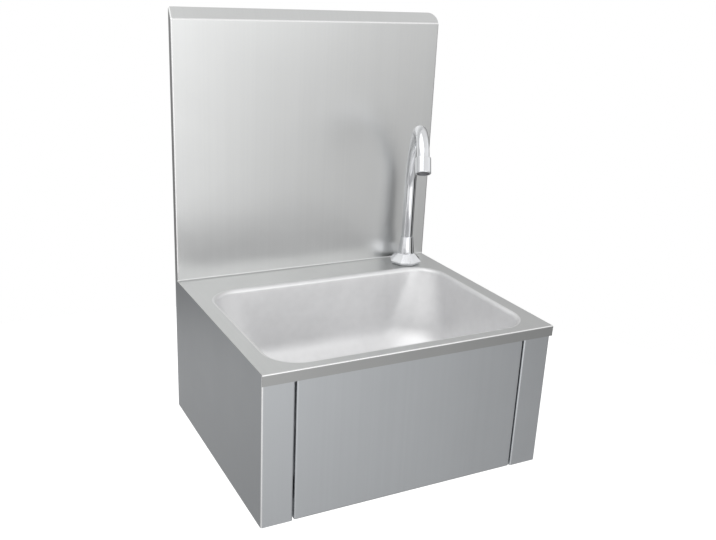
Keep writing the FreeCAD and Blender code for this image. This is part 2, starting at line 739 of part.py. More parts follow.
def make_bowl():
    """A pressed bowl of even thickness with a rolled rim, a soft floor and a recess for the waste."""

    def recess_ring(radius, height):
        def test(edge):
            if curve_kind(edge) != "Part::GeomCircle":
                return False
            return same(edge.Curve.Radius, radius) and same(edge.Curve.Center.z, height)

        return test

    outside = bowl_solid("bowl_outside", deck_under, gauge)
    soften(outside, S.recess_edge, recess_ring(S.recess_radius + gauge, recess_floor - gauge))
    inside = bowl_solid("bowl_inside", deck_top, as_size(0))
    soften(inside, S.recess_edge, recess_ring(S.recess_radius, bowl_floor))
    disc(inside, "XY", (as_size(0), bowl_middle), S.drain_radius, recess_floor - gauge, gauge)
    return difference("bowl", outside, inside)


# ---------------------------------------------------------------- cabinet

def make_side_panel(label, side):
    """A side with its stile, the fold behind the slot, and a flange under the deck; side is -1 or +1."""
    body = new_body(label)
    outer = centre_x + side * half_cabinet
    inner = outer - side * gauge
    edge = centre_x + side * (half_flap + S.slot_width)
    behind = edge + side * gauge
    section = [
        (outer, as_size(0)),
        (outer, front),
        (edge, front),
        (edge, fold_edge),
        (behind, fold_edge),
        (behind, front + gauge),
        (inner, front + gauge),
        (inner, as_size(0)),
    ]
    plate(body, "XY", section, as_size(0), deck_under)
    flange_width = S.top_flange
    low_x, high_x = (inner, inner + flange_width) if side < 0 else (inner - flange_width, inner)
    flange = [
        (low_x, front + S.top_flange_end),
        (high_x, front + S.top_flange_end),
        (high_x, -S.top_flange_end),
        (low_x, -S.top_flange_end),
    ]
    plate(body, "XY", flange, deck_under - gauge, gauge)
    soften(body, S.bend_radius, any_of(runs_at("z", x=outer, y=front), runs_at("z", x=edge, y=front)))
    inner_radius = S.bend_radius - gauge
    soften(
        body,
        inner_radius,
        any_of(runs_at("z", x=inner, y=front + gauge), runs_at("z", x=behind, y=front + gauge)),
    )
    low = (edge if side > 0 else behind)
    disc(body, "YZ", (hinge_y, hinge_z), S.pin_radius, low, gauge, cutting=True)
    return body


def make_wall_rail(label, low, height, flange_low):
    """A rail against the wall, with a level flange at its top or foot, end tabs and two fixing holes."""
    body = new_body(label)
    inner = half_cabinet - gauge
    left, right = centre_x - inner, centre_x + inner
    thick = S.rail_gauge
    flange_z = low if flange_low else low + height - thick
    web_low = low + thick if flange_low else low
    web = [(left, as_size(0)), (right, as_size(0)), (right, -thick), (left, -thick)]
    plate(body, "XY", web, web_low, height - thick)
    flange = [(left, as_size(0)), (right, as_size(0)), (right, -S.rail_flange), (left, -S.rail_flange)]
    plate(body, "XY", flange, flange_z, thick)
    for start, stop in ((left, left + thick), (right - thick, right)):
        tab = [(start, -thick), (stop, -thick), (stop, -S.rail_tab), (start, -S.rail_tab)]
        plate(body, "XY", tab, web_low, height - thick)
    height_of_holes = S.fixing_low if flange_low else deck_under - S.fixing_drop
    for side in (-1, 1):
        centre = (side * S.fixing_pitch / 2, height_of_holes)
        disc(body, "XZ", centre, S.fixing_radius, as_size(0), thick, cutting=True)
    if not flange_low:
        soften(body, thick, runs_at("x", y=as_size(0), z=low + height))
    return body


def make_cross_rail():
    """The channel across the cabinet that carries the knee valve."""
    body = new_body("valve_rail")
    inner = half_cabinet - gauge
    thick = S.rail_gauge
    low, high = S.valve_height - S.cross_rail_height / 2, S.valve_height + S.cross_rail_height / 2
    channel = [
        (rail_front, low),
        (rail_front, high),
        (rail_front + S.cross_rail_depth, high),
        (rail_front + S.cross_rail_depth, high - thick),
        (rail_back, high - thick),
        (rail_back, low + thick),
        (rail_front + S.cross_rail_depth, low + thick),
        (rail_front + S.cross_rail_depth, low),
    ]
    plate(body, "YZ", channel, centre_x - inner, 2 * inner)
    hole = (valve_x, S.valve_height)
    disc(body, "XZ", hole, S.neck_radius + S.neck_play, -rail_back, thick, cutting=True)
    soften(body, thick, any_of(runs_at("x", y=rail_front, z=low), runs_at("x", y=rail_front, z=high)))
    return body


def make_inlet_shelf():
    """The bracket on the lower rail that holds both water inlets."""
    body = new_body("inlet_bracket")
    thick = S.rail_gauge
    start = valve_x - S.inlet_pitch / 2 - S.shelf_side
    length = S.inlet_pitch + 2 * S.shelf_side
    bracket = [
        (-thick, shelf_top + S.rail_gauge),
        (-thick, S.lower_rail_height),
        (-2 * thick, S.lower_rail_height),
        (-2 * thick, shelf_top),
        (tee_y - S.shelf_front, shelf_top),
        (tee_y - S.shelf_front, shelf_top - thick),
        (-thick, shelf_top - thick),
    ]
    plate(body, "YZ", bracket, start, length)
    for side in (-1, 1):
        centre = (valve_x + side * S.inlet_pitch / 2, tee_y)
        radius = S.inlet_radius + S.shelf_play
        disc(body, "XY", centre, radius, shelf_top - thick, thick, cutting=True)
    return body


# ---------------------------------------------------------------- knee flap

def make_knee_panel():
    """The flap between the slots: a front with folds all round, two hinge ears and two stop tabs."""
    body = new_body("knee_panel")
    left, right = centre_x - half_flap, centre_x + half_flap
    fold = front + S.flap_fold
    section = [
        (left, fold),
        (left, front),
        (right, front),
        (right, fold),
        (right - gauge, fold),
        (right - gauge, front + gauge),
        (left + gauge, front + gauge),
        (left + gauge, fold),
    ]
    plate(body, "XY", section, as_size(0), hinge_z)
    soften(body, S.bend_radius, any_of(runs_at("z", x=left, y=front), runs_at("z", x=right, y=front)))
    across = [
        (left + gauge, front + gauge),
        (right - gauge, front + gauge),
        (right - gauge, fold),
        (left + gauge, fold),
    ]
    plate(body, "XY", across, as_size(0), gauge)
    low_x, high_x = left + gauge + S.top_fold_end, right - gauge - S.top_fold_end
    top_fold = [(low_x, front + gauge), (high_x, front + gauge), (high_x, fold), (low_x, fold)]
    plate(body, "XY", top_fold, hinge_z - gauge, gauge)
    soften(body, S.bend_radius, runs_at("x", y=front, z=as_size(0)))
    for side in (-1, 1):
        outer = centre_x + side * half_flap
        low = outer if side < 0 else outer - gauge
        disc(body, "YZ", (hinge_y, hinge_z), S.ear_radius, low, gauge)
        bush_hole = S.pin_radius + S.hinge_play + S.bush_wall
        disc(body, "YZ", (hinge_y, hinge_z), bush_hole, low, gauge, cutting=True)
        web = [
            (fold, S.tab_low),
            (fold, S.tab_low + S.tab_height),
            (tab_front + gauge, S.tab_low + S.tab_height),
            (tab_front + gauge, S.tab_low),
        ]
        plate(body, "YZ", web, low, gauge)
        reach = outer + side * S.tab_reach
        near, far = (reach, outer) if side < 0 else (outer, reach)
        tab = [(near, tab_front), (far, tab_front), (far, tab_front + gauge), (near, tab_front + gauge)]
        plate(body, "XY", tab, S.tab_low, S.tab_height)
    return body


def slot_place(side):
    """The two faces of a slot: the stile's and the flap's."""
    stile = centre_x + side * (half_flap + S.slot_width)
    flap = centre_x + side * half_flap
    return stile, flap


def make_hinge_pin(label, side):
    """A headed pin through the stile's fold and the flap's ear, along X towards the centre."""
    body = new_body(label)
    reach = gauge + S.slot_width + gauge + bush_end_past_ear() + S.clip_gap + S.clip_thickness + S.pin_tail
    turned(
        body,
        [
            (as_size(0), -S.pin_head),
            (S.pin_head_radius, -S.pin_head),
            (S.pin_head_radius, as_size(0)),
            (S.pin_radius, as_size(0)),
            (S.pin_radius, reach),
            (as_size(0), reach),
        ],
    )
    soften(body, S.pin_head / 4, rings_at(-S.pin_head))
    stile, _ = slot_place(side)
    place(body, (stile + side * gauge, hinge_y, hinge_z), rotation=AXES["-X" if side > 0 else "+X"])
    return body


def bush_end_past_ear():
    """How far a hinge bush stands out of the ear's inner face."""
    return S.bush_length - S.bush_flange - gauge


def make_hinge_bush(label, side):
    """A flanged sleeve in the flap's ear, its flange in the slot."""
    body = new_body(label)
    bore = S.pin_radius + S.hinge_play
    turned(
        body,
        [
            (bore, as_size(0)),
            (S.bush_flange_radius, as_size(0)),
            (S.bush_flange_radius, S.bush_flange),
            (bore + S.bush_wall, S.bush_flange),
            (bore + S.bush_wall, S.bush_length),
            (bore, S.bush_length),
        ],
    )
    _, flap = slot_place(side)
    place(body, (flap + side * S.bush_flange, hinge_y, hinge_z), rotation=AXES["-X" if side > 0 else "+X"])
    return body


def make_hinge_clip(label, side):
    """A retaining washer on the tail of a hinge pin."""
    body = new_body(label)
    turned(
        body,
        [
            (S.pin_radius, as_size(0)),
            (S.clip_radius, as_size(0)),
            (S.clip_radius, S.clip_thickness),
            (S.pin_radius, S.clip_thickness),
        ],
    )
    _, flap = slot_place(side)
    start = flap - side * (gauge + bush_end_past_ear() + S.clip_gap)
    place(body, (start, hinge_y, hinge_z), rotation=AXES["-X" if side > 0 else "+X"])
    return body


def make_stop_rubber(label, side):
    """A rubber block round the edge of the stile's fold, for the stop tab to rest on."""
    body = new_body(label)
    stile, _ = slot_place(side)
    behind = stile + side * gauge
    outer = stile + side * S.stop_width
    section = [
        (stile, fold_edge),
        (behind, fold_edge),
        (behind, fold_edge - S.stop_grip),
        (outer, fold_edge - S.stop_grip),
        (outer, fold_edge + S.stop_back),
        (stile, fold_edge + S.stop_back),
    ]
    plate(body, "XY", section, S.tab_low + S.stop_inset, S.tab_height - 2 * S.stop_inset)
    return body


def make_pusher():
    """The channel behind the flap, its adjusting screw, lock nut and rubber cap."""
    half = S.pusher_size / 2
    thick = S.rail_gauge
    inside = front + gauge
    web_back = inside + S.pusher_depth
    channel = new_body("pusher_channel")
    left, right = valve_x - half, valve_x + half
    section = [
        (left, inside),
        (left, web_back),
        (right, web_back),
        (right, inside),
        (right - thick, inside),
        (right - thick, web_back - thick),
        (left + thick, web_back - thick),
        (left + thick, inside),
    ]
    plate(channel, "XY", section, S.valve_height - half, S.pusher_size)
    soften(channel, thick, any_of(runs_at("z", x=left, y=web_back), runs_at("z", x=right, y=web_back)))
    hole = (valve_x, S.valve_height)
    disc(channel, "XZ", hole, S.screw_radius, -web_back, thick, cutting=True)

    screw = new_body("adjusting_screw")
    plate(screw, "XY", hexagon(S.screw_flats), -S.screw_head, S.screw_head)
    length = cap_front - S.cap_end - (web_back - thick)
    disc(screw, "XY", (as_size(0), as_size(0)), S.screw_radius, as_size(0), length)
    place(screw, (valve_x, web_back - thick, S.valve_height), rotation=AXES["+Y"])

    nut = make_nut("adjusting_nut", S.screw_flats, S.screw_nut, S.screw_radius)
    place(nut, (valve_x, web_back, S.valve_height), rotation=AXES["+Y"])

    cap = new_body("pusher_cap")
    turned(
        cap,
        [
            (as_size(0), S.cap_length - S.cap_end),
            (S.screw_radius, S.cap_length - S.cap_end),
            (S.screw_radius, as_size(0)),
            (S.cap_radius, as_size(0)),
            (S.cap_radius, S.cap_length),
            (as_size(0), S.cap_length),
        ],
    )
    soften(cap, S.cap_rounding, rings_at(S.cap_length, S.cap_radius))
    place(cap, (valve_x, cap_front - S.cap_length, S.valve_height), rotation=AXES["+Y"])


def make_nut(label, flats, thickness, bore):
    """A hexagon nut along the body's Z axis, bevelled at both faces."""
    body = new_body(label)
    plate(body, "XY", hexagon(flats), as_size(0), thickness)
    disc(body, "XY", (as_size(0), as_size(0)), bore, as_size(0), thickness, cutting=True)
    return body


# ---------------------------------------------------------------- knee valve

def make_valve_body():
    """Brass body along +Y: threaded neck, shoulder, barrel, seat, side outlet and rear inlet."""
    body = new_body("knee_valve_body")
    zero = as_size(0)
    neck = S.neck_length
    shoulder_end = neck + S.shoulder_length
    barrel = shoulder_end + S.barrel_length
    seat = neck + S.seat_setback
    chamber = seat + S.seat_thickness
    end = barrel + S.stub_length
    turned(
        body,
        [
            (S.outlet_bore, zero),
            (S.neck_radius, zero),
            (S.neck_radius, neck),
            (S.shoulder_radius, neck),
            (S.shoulder_radius, shoulder_end),
            (S.barrel_radius, shoulder_end),
            (S.barrel_radius, barrel),
            (S.stub_radius, barrel),
            (S.stub_radius, end),
            (S.pipe_bore, end),
            (S.pipe_bore, chamber + S.inlet_chamber),
            (S.inlet_bore, chamber + S.inlet_chamber),
            (S.inlet_bore, chamber),
            (S.seat_bore, chamber),
            (S.seat_bore, seat),
            (S.outlet_bore, seat),
        ],
    )
    port_z = neck + S.port_setback
    reach = S.barrel_radius + S.port_length
    root_depth = S.barrel_radius - S.outlet_bore
    wall_middle = S.outlet_bore + root_depth / 2
    disc(body, "YZ", (zero, port_z), S.port_radius, wall_middle, reach - wall_middle)
    disc(body, "YZ", (zero, port_z), S.pipe_bore, zero, reach, cutting=True)
    soften(body, S.button_edge, any_of(rings_at(barrel, S.barrel_radius), rings_at(neck, S.shoulder_radius)), "Chamfer")
    turn = Rotation(Vector(1, 0, 0), Vector(0, 0, -1), Vector(0, 1, 0), "ZXY")
    place(body, (valve_x, neck_front, S.valve_height), rotation=turn)
    return body


def make_valve_inside():
    """Bonnet, button with its stem, seal, return spring and panel nut."""
    zero = as_size(0)
    centre = (zero, zero)
    bonnet = new_body("valve_bonnet")
    plate(bonnet, "XY", hexagon(S.bonnet_flats), -S.bonnet_head, S.bonnet_head)
    disc(bonnet, "XY", centre, S.outlet_bore, zero, S.bonnet_plug)
    bore = S.stem_radius + S.stem_play
    disc(bonnet, "XY", centre, bore, -S.bonnet_head, S.bonnet_head + S.bonnet_plug, cutting=True)
    place(bonnet, (valve_x, neck_front, S.valve_height), rotation=AXES["+Y"])

    plunger = new_body("valve_plunger")
    seal_front = seat_y + S.seat_thickness + S.seal_gap
    stem_end = seal_front + S.seal_thickness - button_front
    turned(
        plunger,
        [
            (zero, zero),
            (S.button_radius, zero),
            (S.button_radius, S.button_length),
            (S.stem_radius, S.button_length),
            (S.stem_radius, stem_end),
            (S.backing_radius, stem_end),
            (S.backing_radius, stem_end + S.backing_thickness),
            (zero, stem_end + S.backing_thickness),
        ],
    )
    soften(plunger, S.button_edge, rings_at(zero, S.button_radius))
    place(plunger, (valve_x, button_front, S.valve_height), rotation=AXES["+Y"])

    seal = new_body("valve_seal")
    turned(
        seal,
        [
            (S.stem_radius, zero),
            (S.seal_radius, zero),
            (S.seal_radius, S.seal_thickness),
            (S.stem_radius, S.seal_thickness),
        ],
    )
    place(seal, (valve_x, seal_front, S.valve_height), rotation=AXES["+Y"])

    spring = new_body("valve_spring")
    spring_start = seal_front + S.seal_thickness + S.backing_thickness + S.spring_seat + S.spring_wire
    spring_stop = seat_y + S.seat_thickness + S.inlet_chamber - S.spring_seat - S.spring_wire
    wire = new_sketch(spring, "XZ")
    circle(wire, (S.spring_radius, zero), S.spring_wire)
    coil = spring.newObject("PartDesign::AdditiveHelix", "valve_spring_coil")
    coil.Profile = wire
    coil.ReferenceAxis = (wire, ["V_Axis"])
    coil.Mode = "height-turns-angle"
    coil.Angle = 0
    tie(coil, "Height", spring_stop - spring_start)
    tie(coil, "Turns", S.spring_turns)
    place(spring, (valve_x, spring_start, S.valve_height), rotation=AXES["+Y"])

    nut = make_nut("valve_panel_nut", 2 * (S.neck_radius + S.valve_nut_wall), S.valve_nut, S.neck_radius)
    place(nut, (valve_x, rail_front - S.valve_nut, S.valve_height), rotation=AXES["+Y"])


# ---------------------------------------------------------------- pipework

def make_mixing_tee():
    """Brass tee along X: two inlets below, one outlet to the front."""
    body = new_body("mixing_tee")
    zero = as_size(0)
    half = S.inlet_pitch / 2 + S.tee_end
    sketch = new_sketch(body, "YZ", -half)
    circle(sketch, (zero, zero), S.tee_radius)
    extrude(body, sketch, 2 * half)
    reach = S.tee_radius + S.stub_length
    disc(body, "XZ", (zero, zero), S.stub_radius, zero, reach)
    for side in (-1, 1):
        disc(body, "XY", (side * S.inlet_pitch / 2, zero), S.inlet_radius, -S.tee_radius, S.tee_radius)
    bore_half = S.inlet_pitch / 2
    sketch = new_sketch(body, "YZ", -bore_half)
    circle(sketch, (zero, zero), S.pipe_bore)
    extrude(body, sketch, 2 * bore_half, cutting=True)
    disc(body, "XZ", (zero, zero), S.pipe_bore, zero, reach, cutting=True)
    for side in (-1, 1):
        centre = (side * S.inlet_pitch / 2, zero)
        disc(body, "XY", centre, S.inlet_bore_radius, -S.tee_radius, S.tee_radius, cutting=True)

    def end_rings(edge):
        ends = same(abs(edge.BoundBox.XMin), half) and same(abs(edge.BoundBox.XMax), half)
        return curve_kind(edge) == "Part::GeomCircle" and ends

    soften(body, S.button_edge, end_rings, "Chamfer")
    place(body, (valve_x, tee_y, S.valve_height))
    return body


def make_check_valve(label, side):
    """A check valve union below the tee: hexagon, clamped thread, groove and free inlet thread."""
    body = new_body(label)
    zero = as_size(0)
    plate(body, "XY", hexagon(S.check_flats), zero, S.check_hex)
    clamp_low = -S.clamp_thread
    relief_low = clamp_low - S.relief
    end = relief_low - S.inlet_thread
    turned(
        body,
        [
            (zero, zero),
            (S.inlet_radius, zero),
            (S.inlet_radius, clamp_low),
            (S.inlet_radius - S.relief_depth, clamp_low),
            (S.inlet_radius - S.relief_depth, relief_low),
            (S.inlet_radius, relief_low),
            (S.inlet_radius, end),
            (zero, end),
        ],
    )
    depth = S.check_hex + S.clamp_thread + S.relief + S.inlet_thread
    disc(body, "XY", (zero, zero), S.inlet_bore_radius, end, depth, cutting=True)
    place(body, (valve_x + side * S.inlet_pitch / 2, tee_y, shelf_top))
    return body


def make_feed_pipe():
    """The straight copper pipe from the tee to the valve, with a nut at each end."""
    tee_stub = tee_y - S.tee_radius - S.stub_length
    zero = as_size(0)
    pipe = new_body("feed_pipe")
    ring = [(S.pipe_bore, zero), (S.feed_radius, zero), (S.feed_radius, tee_stub - inlet_end), (S.pipe_bore, tee_stub - inlet_end)]
    turned(pipe, ring)
    place(pipe, (valve_x, inlet_end, S.valve_height), rotation=AXES["+Y"])
    ends = (
        ("feed_nut_front", inlet_end - S.pipe_nut_cover, "+Y"),
        ("feed_nut_rear", tee_stub + S.pipe_nut_cover, "-Y"),
    )
    for label, start, way in ends:
        nut = new_body(label)
        plate(nut, "XY", hexagon(S.pipe_nut_flats), zero, S.pipe_nut)
        disc(nut, "XY", (zero, zero), S.stub_radius, zero, S.pipe_nut_cover, cutting=True)
        rest = S.pipe_nut - S.pipe_nut_cover
        disc(nut, "XY", (zero, zero), S.feed_radius, S.pipe_nut_cover, rest, cutting=True)
        place(nut, (valve_x, start, S.valve_height), rotation=AXES[way])


def hose_ends():
    """The two ends of the hose: at the valve's port and under the tap's tail."""
    port_end = valve_x + S.barrel_radius + S.port_length
    low_y = rail_back + S.port_setback
    nut_rest = S.hose_nut - S.hose_nut_cover
    start = (port_end + nut_rest, low_y, S.valve_height)
    tail = deck_top - S.shank_drop
    stop = (tap_x, -S.tap_back, tail - nut_rest)
    return start, stop


def make_hose():
    """The braided hose from the valve up to the tap: straight runs joined by tangent arcs."""
    start, stop = hose_ends()
    outermost = centre_x + half_cabinet - gauge - S.hose_side
    route = [
        start,
        (outermost, start[1], start[2]),
        (outermost, -S.hose_turn, start[2]),
        (tap_x, -S.tap_back, S.hose_low),
        stop,
    ]
    points = [Vector(*(as_size(c).value for c in point)) for point in route]
    path = rounded_path(points, S.hose_bend.value)
    rings = []
    for radius in (S.hose_radius, S.hose_radius - S.hose_wall):
        ring = Part.Wire(Part.Circle(points[0], points[1] - points[0], radius.value).toShape())
        rings.append(path.makePipeShell([ring], True, False))
    section_area = math.pi * (S.hose_radius.value ** 2 - (S.hose_radius - S.hose_wall).value ** 2)
    shape = rings[0].cut(rings[1])
    error = abs(shape.Volume - section_area * path.Length) / shape.Volume
    print(f"riser_hose: {path.Length:.1f} mm long, volume within {100 * error:.3f}% of section times length")
    hose = doc.addObject("Part::Feature", "riser_hose")
    hose.Label = "riser_hose"
    hose.Shape = shape.Solids[0]
    hose.Placement = Placement()
    parts_made.append(hose)


def rounded_path(points, radius):
    """Straight runs through points, joined by tangent arcs of a radius, smaller where a run is short."""
    edges = []
    at = points[0]
    for before, corner, after in zip(points, points[1:], points[2:]):
        into = (corner - before).normalize()
        out = (after - corner).normalize()
        turn = into.getAngle(out)
        shorter = min((corner - before).Length, (after - corner).Length)
        limit = 0.98 if before == points[0] or after == points[-1] else 0.5
        reach = min(radius * math.tan(turn / 2), limit * shorter)
        used = reach / math.tan(turn / 2)
        print(f"riser_hose: turn of {math.degrees(turn):.0f} degrees, radius {used:.1f} mm")
        first = corner - into * reach
        last = corner + out * reach
        inward = (out - into).normalize()
        middle = corner + inward * (used / math.cos(turn / 2) - used)
        edges.append(Part.LineSegment(at, first).toShape())
        edges.append(Part.Arc(first, middle, last).toShape())
        at = last
    edges.append(Part.LineSegment(at, points[-1]).toShape())
    return Part.Wire(edges)


def make_hose_fittings():
    """A nut and a crimped ferrule at each end of the hose."""
    start, stop = hose_ends()
    zero = as_size(0)
    nut_rest = S.hose_nut - S.hose_nut_cover
    ends = (
        ("lower", start, S.hose_nut_flats, S.port_radius, "+X", nut_rest),
        ("upper", stop, S.tail_nut_flats, S.shank_radius, "-Z", nut_rest),
    )
    for name, end, flats, thread, way, rest in ends:
        nut = new_body(f"hose_nut_{name}")
        plate(nut, "XY", hexagon(flats), zero, S.hose_nut)
        disc(nut, "XY", (zero, zero), thread, zero, S.hose_nut_cover, cutting=True)
        disc(nut, "XY", (zero, zero), S.hose_radius, S.hose_nut_cover, rest, cutting=True)
        ferrule = new_body(f"hose_ferrule_{name}")
        ring = [
            (S.hose_radius, zero),
            (S.ferrule_radius, zero),
            (S.ferrule_radius, S.ferrule),
            (S.hose_radius, S.ferrule),
        ]
        turned(ferrule, ring)
        soften(ferrule, S.hose_wall / 3, rings_at(S.ferrule, S.ferrule_radius))
        x, y, z = end
        if way == "+X":
            place(nut, (x - S.hose_nut, y, z), rotation=AXES[way])
        else:
            place(nut, (x, y, z + S.hose_nut), rotation=AXES[way])
        place(ferrule, end, rotation=AXES[way])


# ---------------------------------------------------------------- tap

def octagon(flats):
    """The corners of an octagon, with flats across both axes."""
    corner = as_size(flats) / 2 / cosine(22.5)
    return [(corner * cosine(22.5 + 45 * i), corner * sine(22.5 + 45 * i)) for i in range(8)]


def make_tap_base():
    """The faceted base: eight sides, flaring from the deck and sloping in to the collar."""
    body = new_body("tap_base")
    sections = []
    levels = ((0, S.base_foot_flats), (S.base_foot, S.base_flats), (S.base_height, 2 * (collar_foot + S.base_step)))
    for height, flats in levels:
        sketch = new_sketch(body, "XY", height)
        polygon(sketch, octagon(flats))
        sections.append(sketch)
    loft(body, sections)
    zero = as_size(0)
    disc(body, "XY", (zero, zero), S.shank_radius, zero, S.base_height, cutting=True)
    x, y, z = tap_at
    place(body, (x, y, z + S.gasket_thickness), angle=S.spout_heading.value)
    return body


def make_ring(label, inner, outer, low, thickness, edge=None):
    """A flat ring round the tap's axis; low is its height above the deck."""
    body = new_body(label)
    zero = as_size(0)
    turned(body, [(inner, zero), (outer, zero), (outer, thickness), (inner, thickness)])
    if edge is not None:
        soften(body, edge, any_of(rings_at(zero, outer), rings_at(thickness, outer)))
    x, y, z = tap_at
    place(body, (x, y, z + low))
    return body


def make_tap_fixings():
    """What holds the tap to the deck: gasket, backing plate, washers, nut and shank."""
    zero = as_size(0)
    make_ring("tap_gasket", S.shank_radius, S.gasket_radius, zero, S.gasket_thickness)
    under = -gauge
    plate_body = new_body("tap_backing_plate")
    half = S.backing_size / 2
    square = [(-half, -half), (half, -half), (half, half), (-half, half)]
    plate(plate_body, "XY", square, zero, S.backing_plate)
    disc(plate_body, "XY", (zero, zero), S.tap_hole, zero, S.backing_plate, cutting=True)
    x, y, z = tap_at
    under = under - S.backing_plate
    place(plate_body, (x, y, z + under))
    under = under - S.rubber_washer
    make_ring("tap_rubber_washer", S.shank_radius, S.washer_radius, under, S.rubber_washer)
    under = under - S.steel_washer
    make_ring("tap_steel_washer", S.shank_radius, S.washer_radius, under, S.steel_washer)
    under = under - S.shank_nut
    nut = make_nut("tap_nut", S.shank_nut_flats, S.shank_nut, S.shank_radius)
    place(nut, (x, y, z + under))

    shank = new_body("tap_shank")
    neck_low = base_top
    neck_top = neck_low + S.shank_rise
    top = neck_low + S.spigot_rise
    groove = S.spout_bore - S.o_ring_play - 2 * S.o_ring
    outline = [
        (S.shank_bore, -S.shank_drop),
        (S.shank_radius, -S.shank_drop),
        (S.shank_radius, neck_low),
        (shank_neck, neck_low),
        (shank_neck, neck_top),
        (S.spigot_radius, neck_top),
    ]
    for number in range(2):
        middle = neck_low + S.o_ring_first + number * S.o_ring_pitch
        outline += [
            (S.spigot_radius, middle - S.o_ring - S.o_ring_side),
            (groove, middle - S.o_ring - S.o_ring_side),
            (groove, middle + S.o_ring + S.o_ring_side),
            (S.spigot_radius, middle + S.o_ring + S.o_ring_side),
        ]
    outline += [(S.spigot_radius, top), (S.shank_bore, top)]
    turned(shank, outline)
    place(shank, tap_at)


def make_collar():
    """The tapered collar that holds the spout and lets it swivel."""
    body = new_body("tap_collar")
    zero = as_size(0)
    cavity_top = S.spout_foot + S.swivel_bush + S.swivel_play
    sleeve = S.spout_radius + S.spout_play
    turned(
        body,
        [
            (shank_neck, zero),
            (collar_foot, zero),
            (collar_foot, S.collar_edge * 2),
            (sleeve + S.collar_top_wall, S.collar_height),
            (sleeve, S.collar_height),
            (sleeve, cavity_top),
            (shank_neck, cavity_top),
        ],
    )
    x, y, z = tap_at
    place(body, (x, y, z + base_top))
    return body


def spout_line():
    """The spout's centre line in its own plane: foot, riser, two bends, and the straight end."""
    foot = base_top + S.spout_foot
    zero = as_size(0)
    turn_one = S.first_angle
    turn_all = S.first_angle + S.second_angle
    riser = (zero, S.spout_riser)
    mid_reach = S.first_bend * (1 - cosine(turn_one))
    mid_height = S.spout_riser + S.first_bend * sine(turn_one)
    end_reach = mid_reach + S.second_bend * (cosine(turn_one) - cosine(turn_all))
    end_height = mid_height + S.second_bend * (sine(turn_all) - sine(turn_one))
    return foot, riser, (mid_reach, mid_height), (end_reach, end_height), turn_all


def arc_about(sketch, centre, radius, first, last):
    """An arc whose centre is tied to the sheet; its radius follows from the ends it is joined to."""
    cx, cz = (as_size(c) for c in centre)
    first, last = as_size(first), as_size(last)
    ring = Part.Circle(Vector(cx.value, cz.value, 0), Vector(0, 0, 1), radius.value)
    index = sketch.addGeometry(Part.ArcOfCircle(ring, math.radians(first.value), math.radians(last.value)), False)
    fix(sketch, "DistanceX", -1, 1, index, 3, size=cx)
    fix(sketch, "DistanceY", -1, 1, index, 3, size=cz)
    return index


def make_spout():
    """The swan-neck tube, drawn in the XZ plane and turned to its heading."""
    body = new_body("spout")
    foot, riser, middle, end, turn_all = spout_line()
    zero = as_size(0)
    path = new_sketch(body, "XZ")
    low = Vector(0, foot.value, 0)
    top = Vector(0, riser[1].value, 0)
    line = path.addGeometry(Part.LineSegment(low, top), False)
    fix(path, "DistanceX", -1, 1, line, 1, size=zero)
    fix(path, "DistanceY", -1, 1, line, 1, size=foot)
    fix(path, "DistanceX", -1, 1, line, 2, size=zero)
    fix(path, "DistanceY", -1, 1, line, 2, size=riser[1])
    first = arc_about(path, (S.first_bend, riser[1]), S.first_bend, 180 - S.first_angle, 180)
    centre_two = (middle[0] + S.second_bend * cosine(S.first_angle), middle[1] - S.second_bend * sine(S.first_angle))
    second = arc_about(path, centre_two, S.second_bend, 180 - turn_all, 180 - S.first_angle)
    straight = S.spout_end - S.aerator_length + S.aerator_cover
    tip = (end[0] + straight * sine(turn_all), end[1] + straight * cosine(turn_all))
    last = path.addGeometry(
        Part.LineSegment(Vector(end[0].value, end[1].value, 0), Vector(tip[0].value, tip[1].value, 0)), False
    )
    path.addConstraint(Sketcher.Constraint("Coincident", line, 2, first, 2))
    path.addConstraint(Sketcher.Constraint("Coincident", first, 1, second, 2))
    path.addConstraint(Sketcher.Constraint("Coincident", second, 1, last, 1))
    fix(path, "DistanceX", -1, 1, first, 1, size=middle[0])
    fix(path, "DistanceX", -1, 1, last, 1, size=end[0])
    fix(path, "DistanceX", -1, 1, last, 2, size=tip[0])
    fix(path, "DistanceY", -1, 1, last, 2, size=tip[1])
    ring = new_sketch(body, "XY", foot)
    circle(ring, (zero, zero), S.spout_radius)
    circle(ring, (zero, zero), S.spout_bore)
    pipe = body.newObject("PartDesign::AdditivePipe", "spout_pipe")
    pipe.Profile = ring
    pipe.Spine = (path, [])
    place(body, tap_at, angle=S.spout_heading.value)
    return body


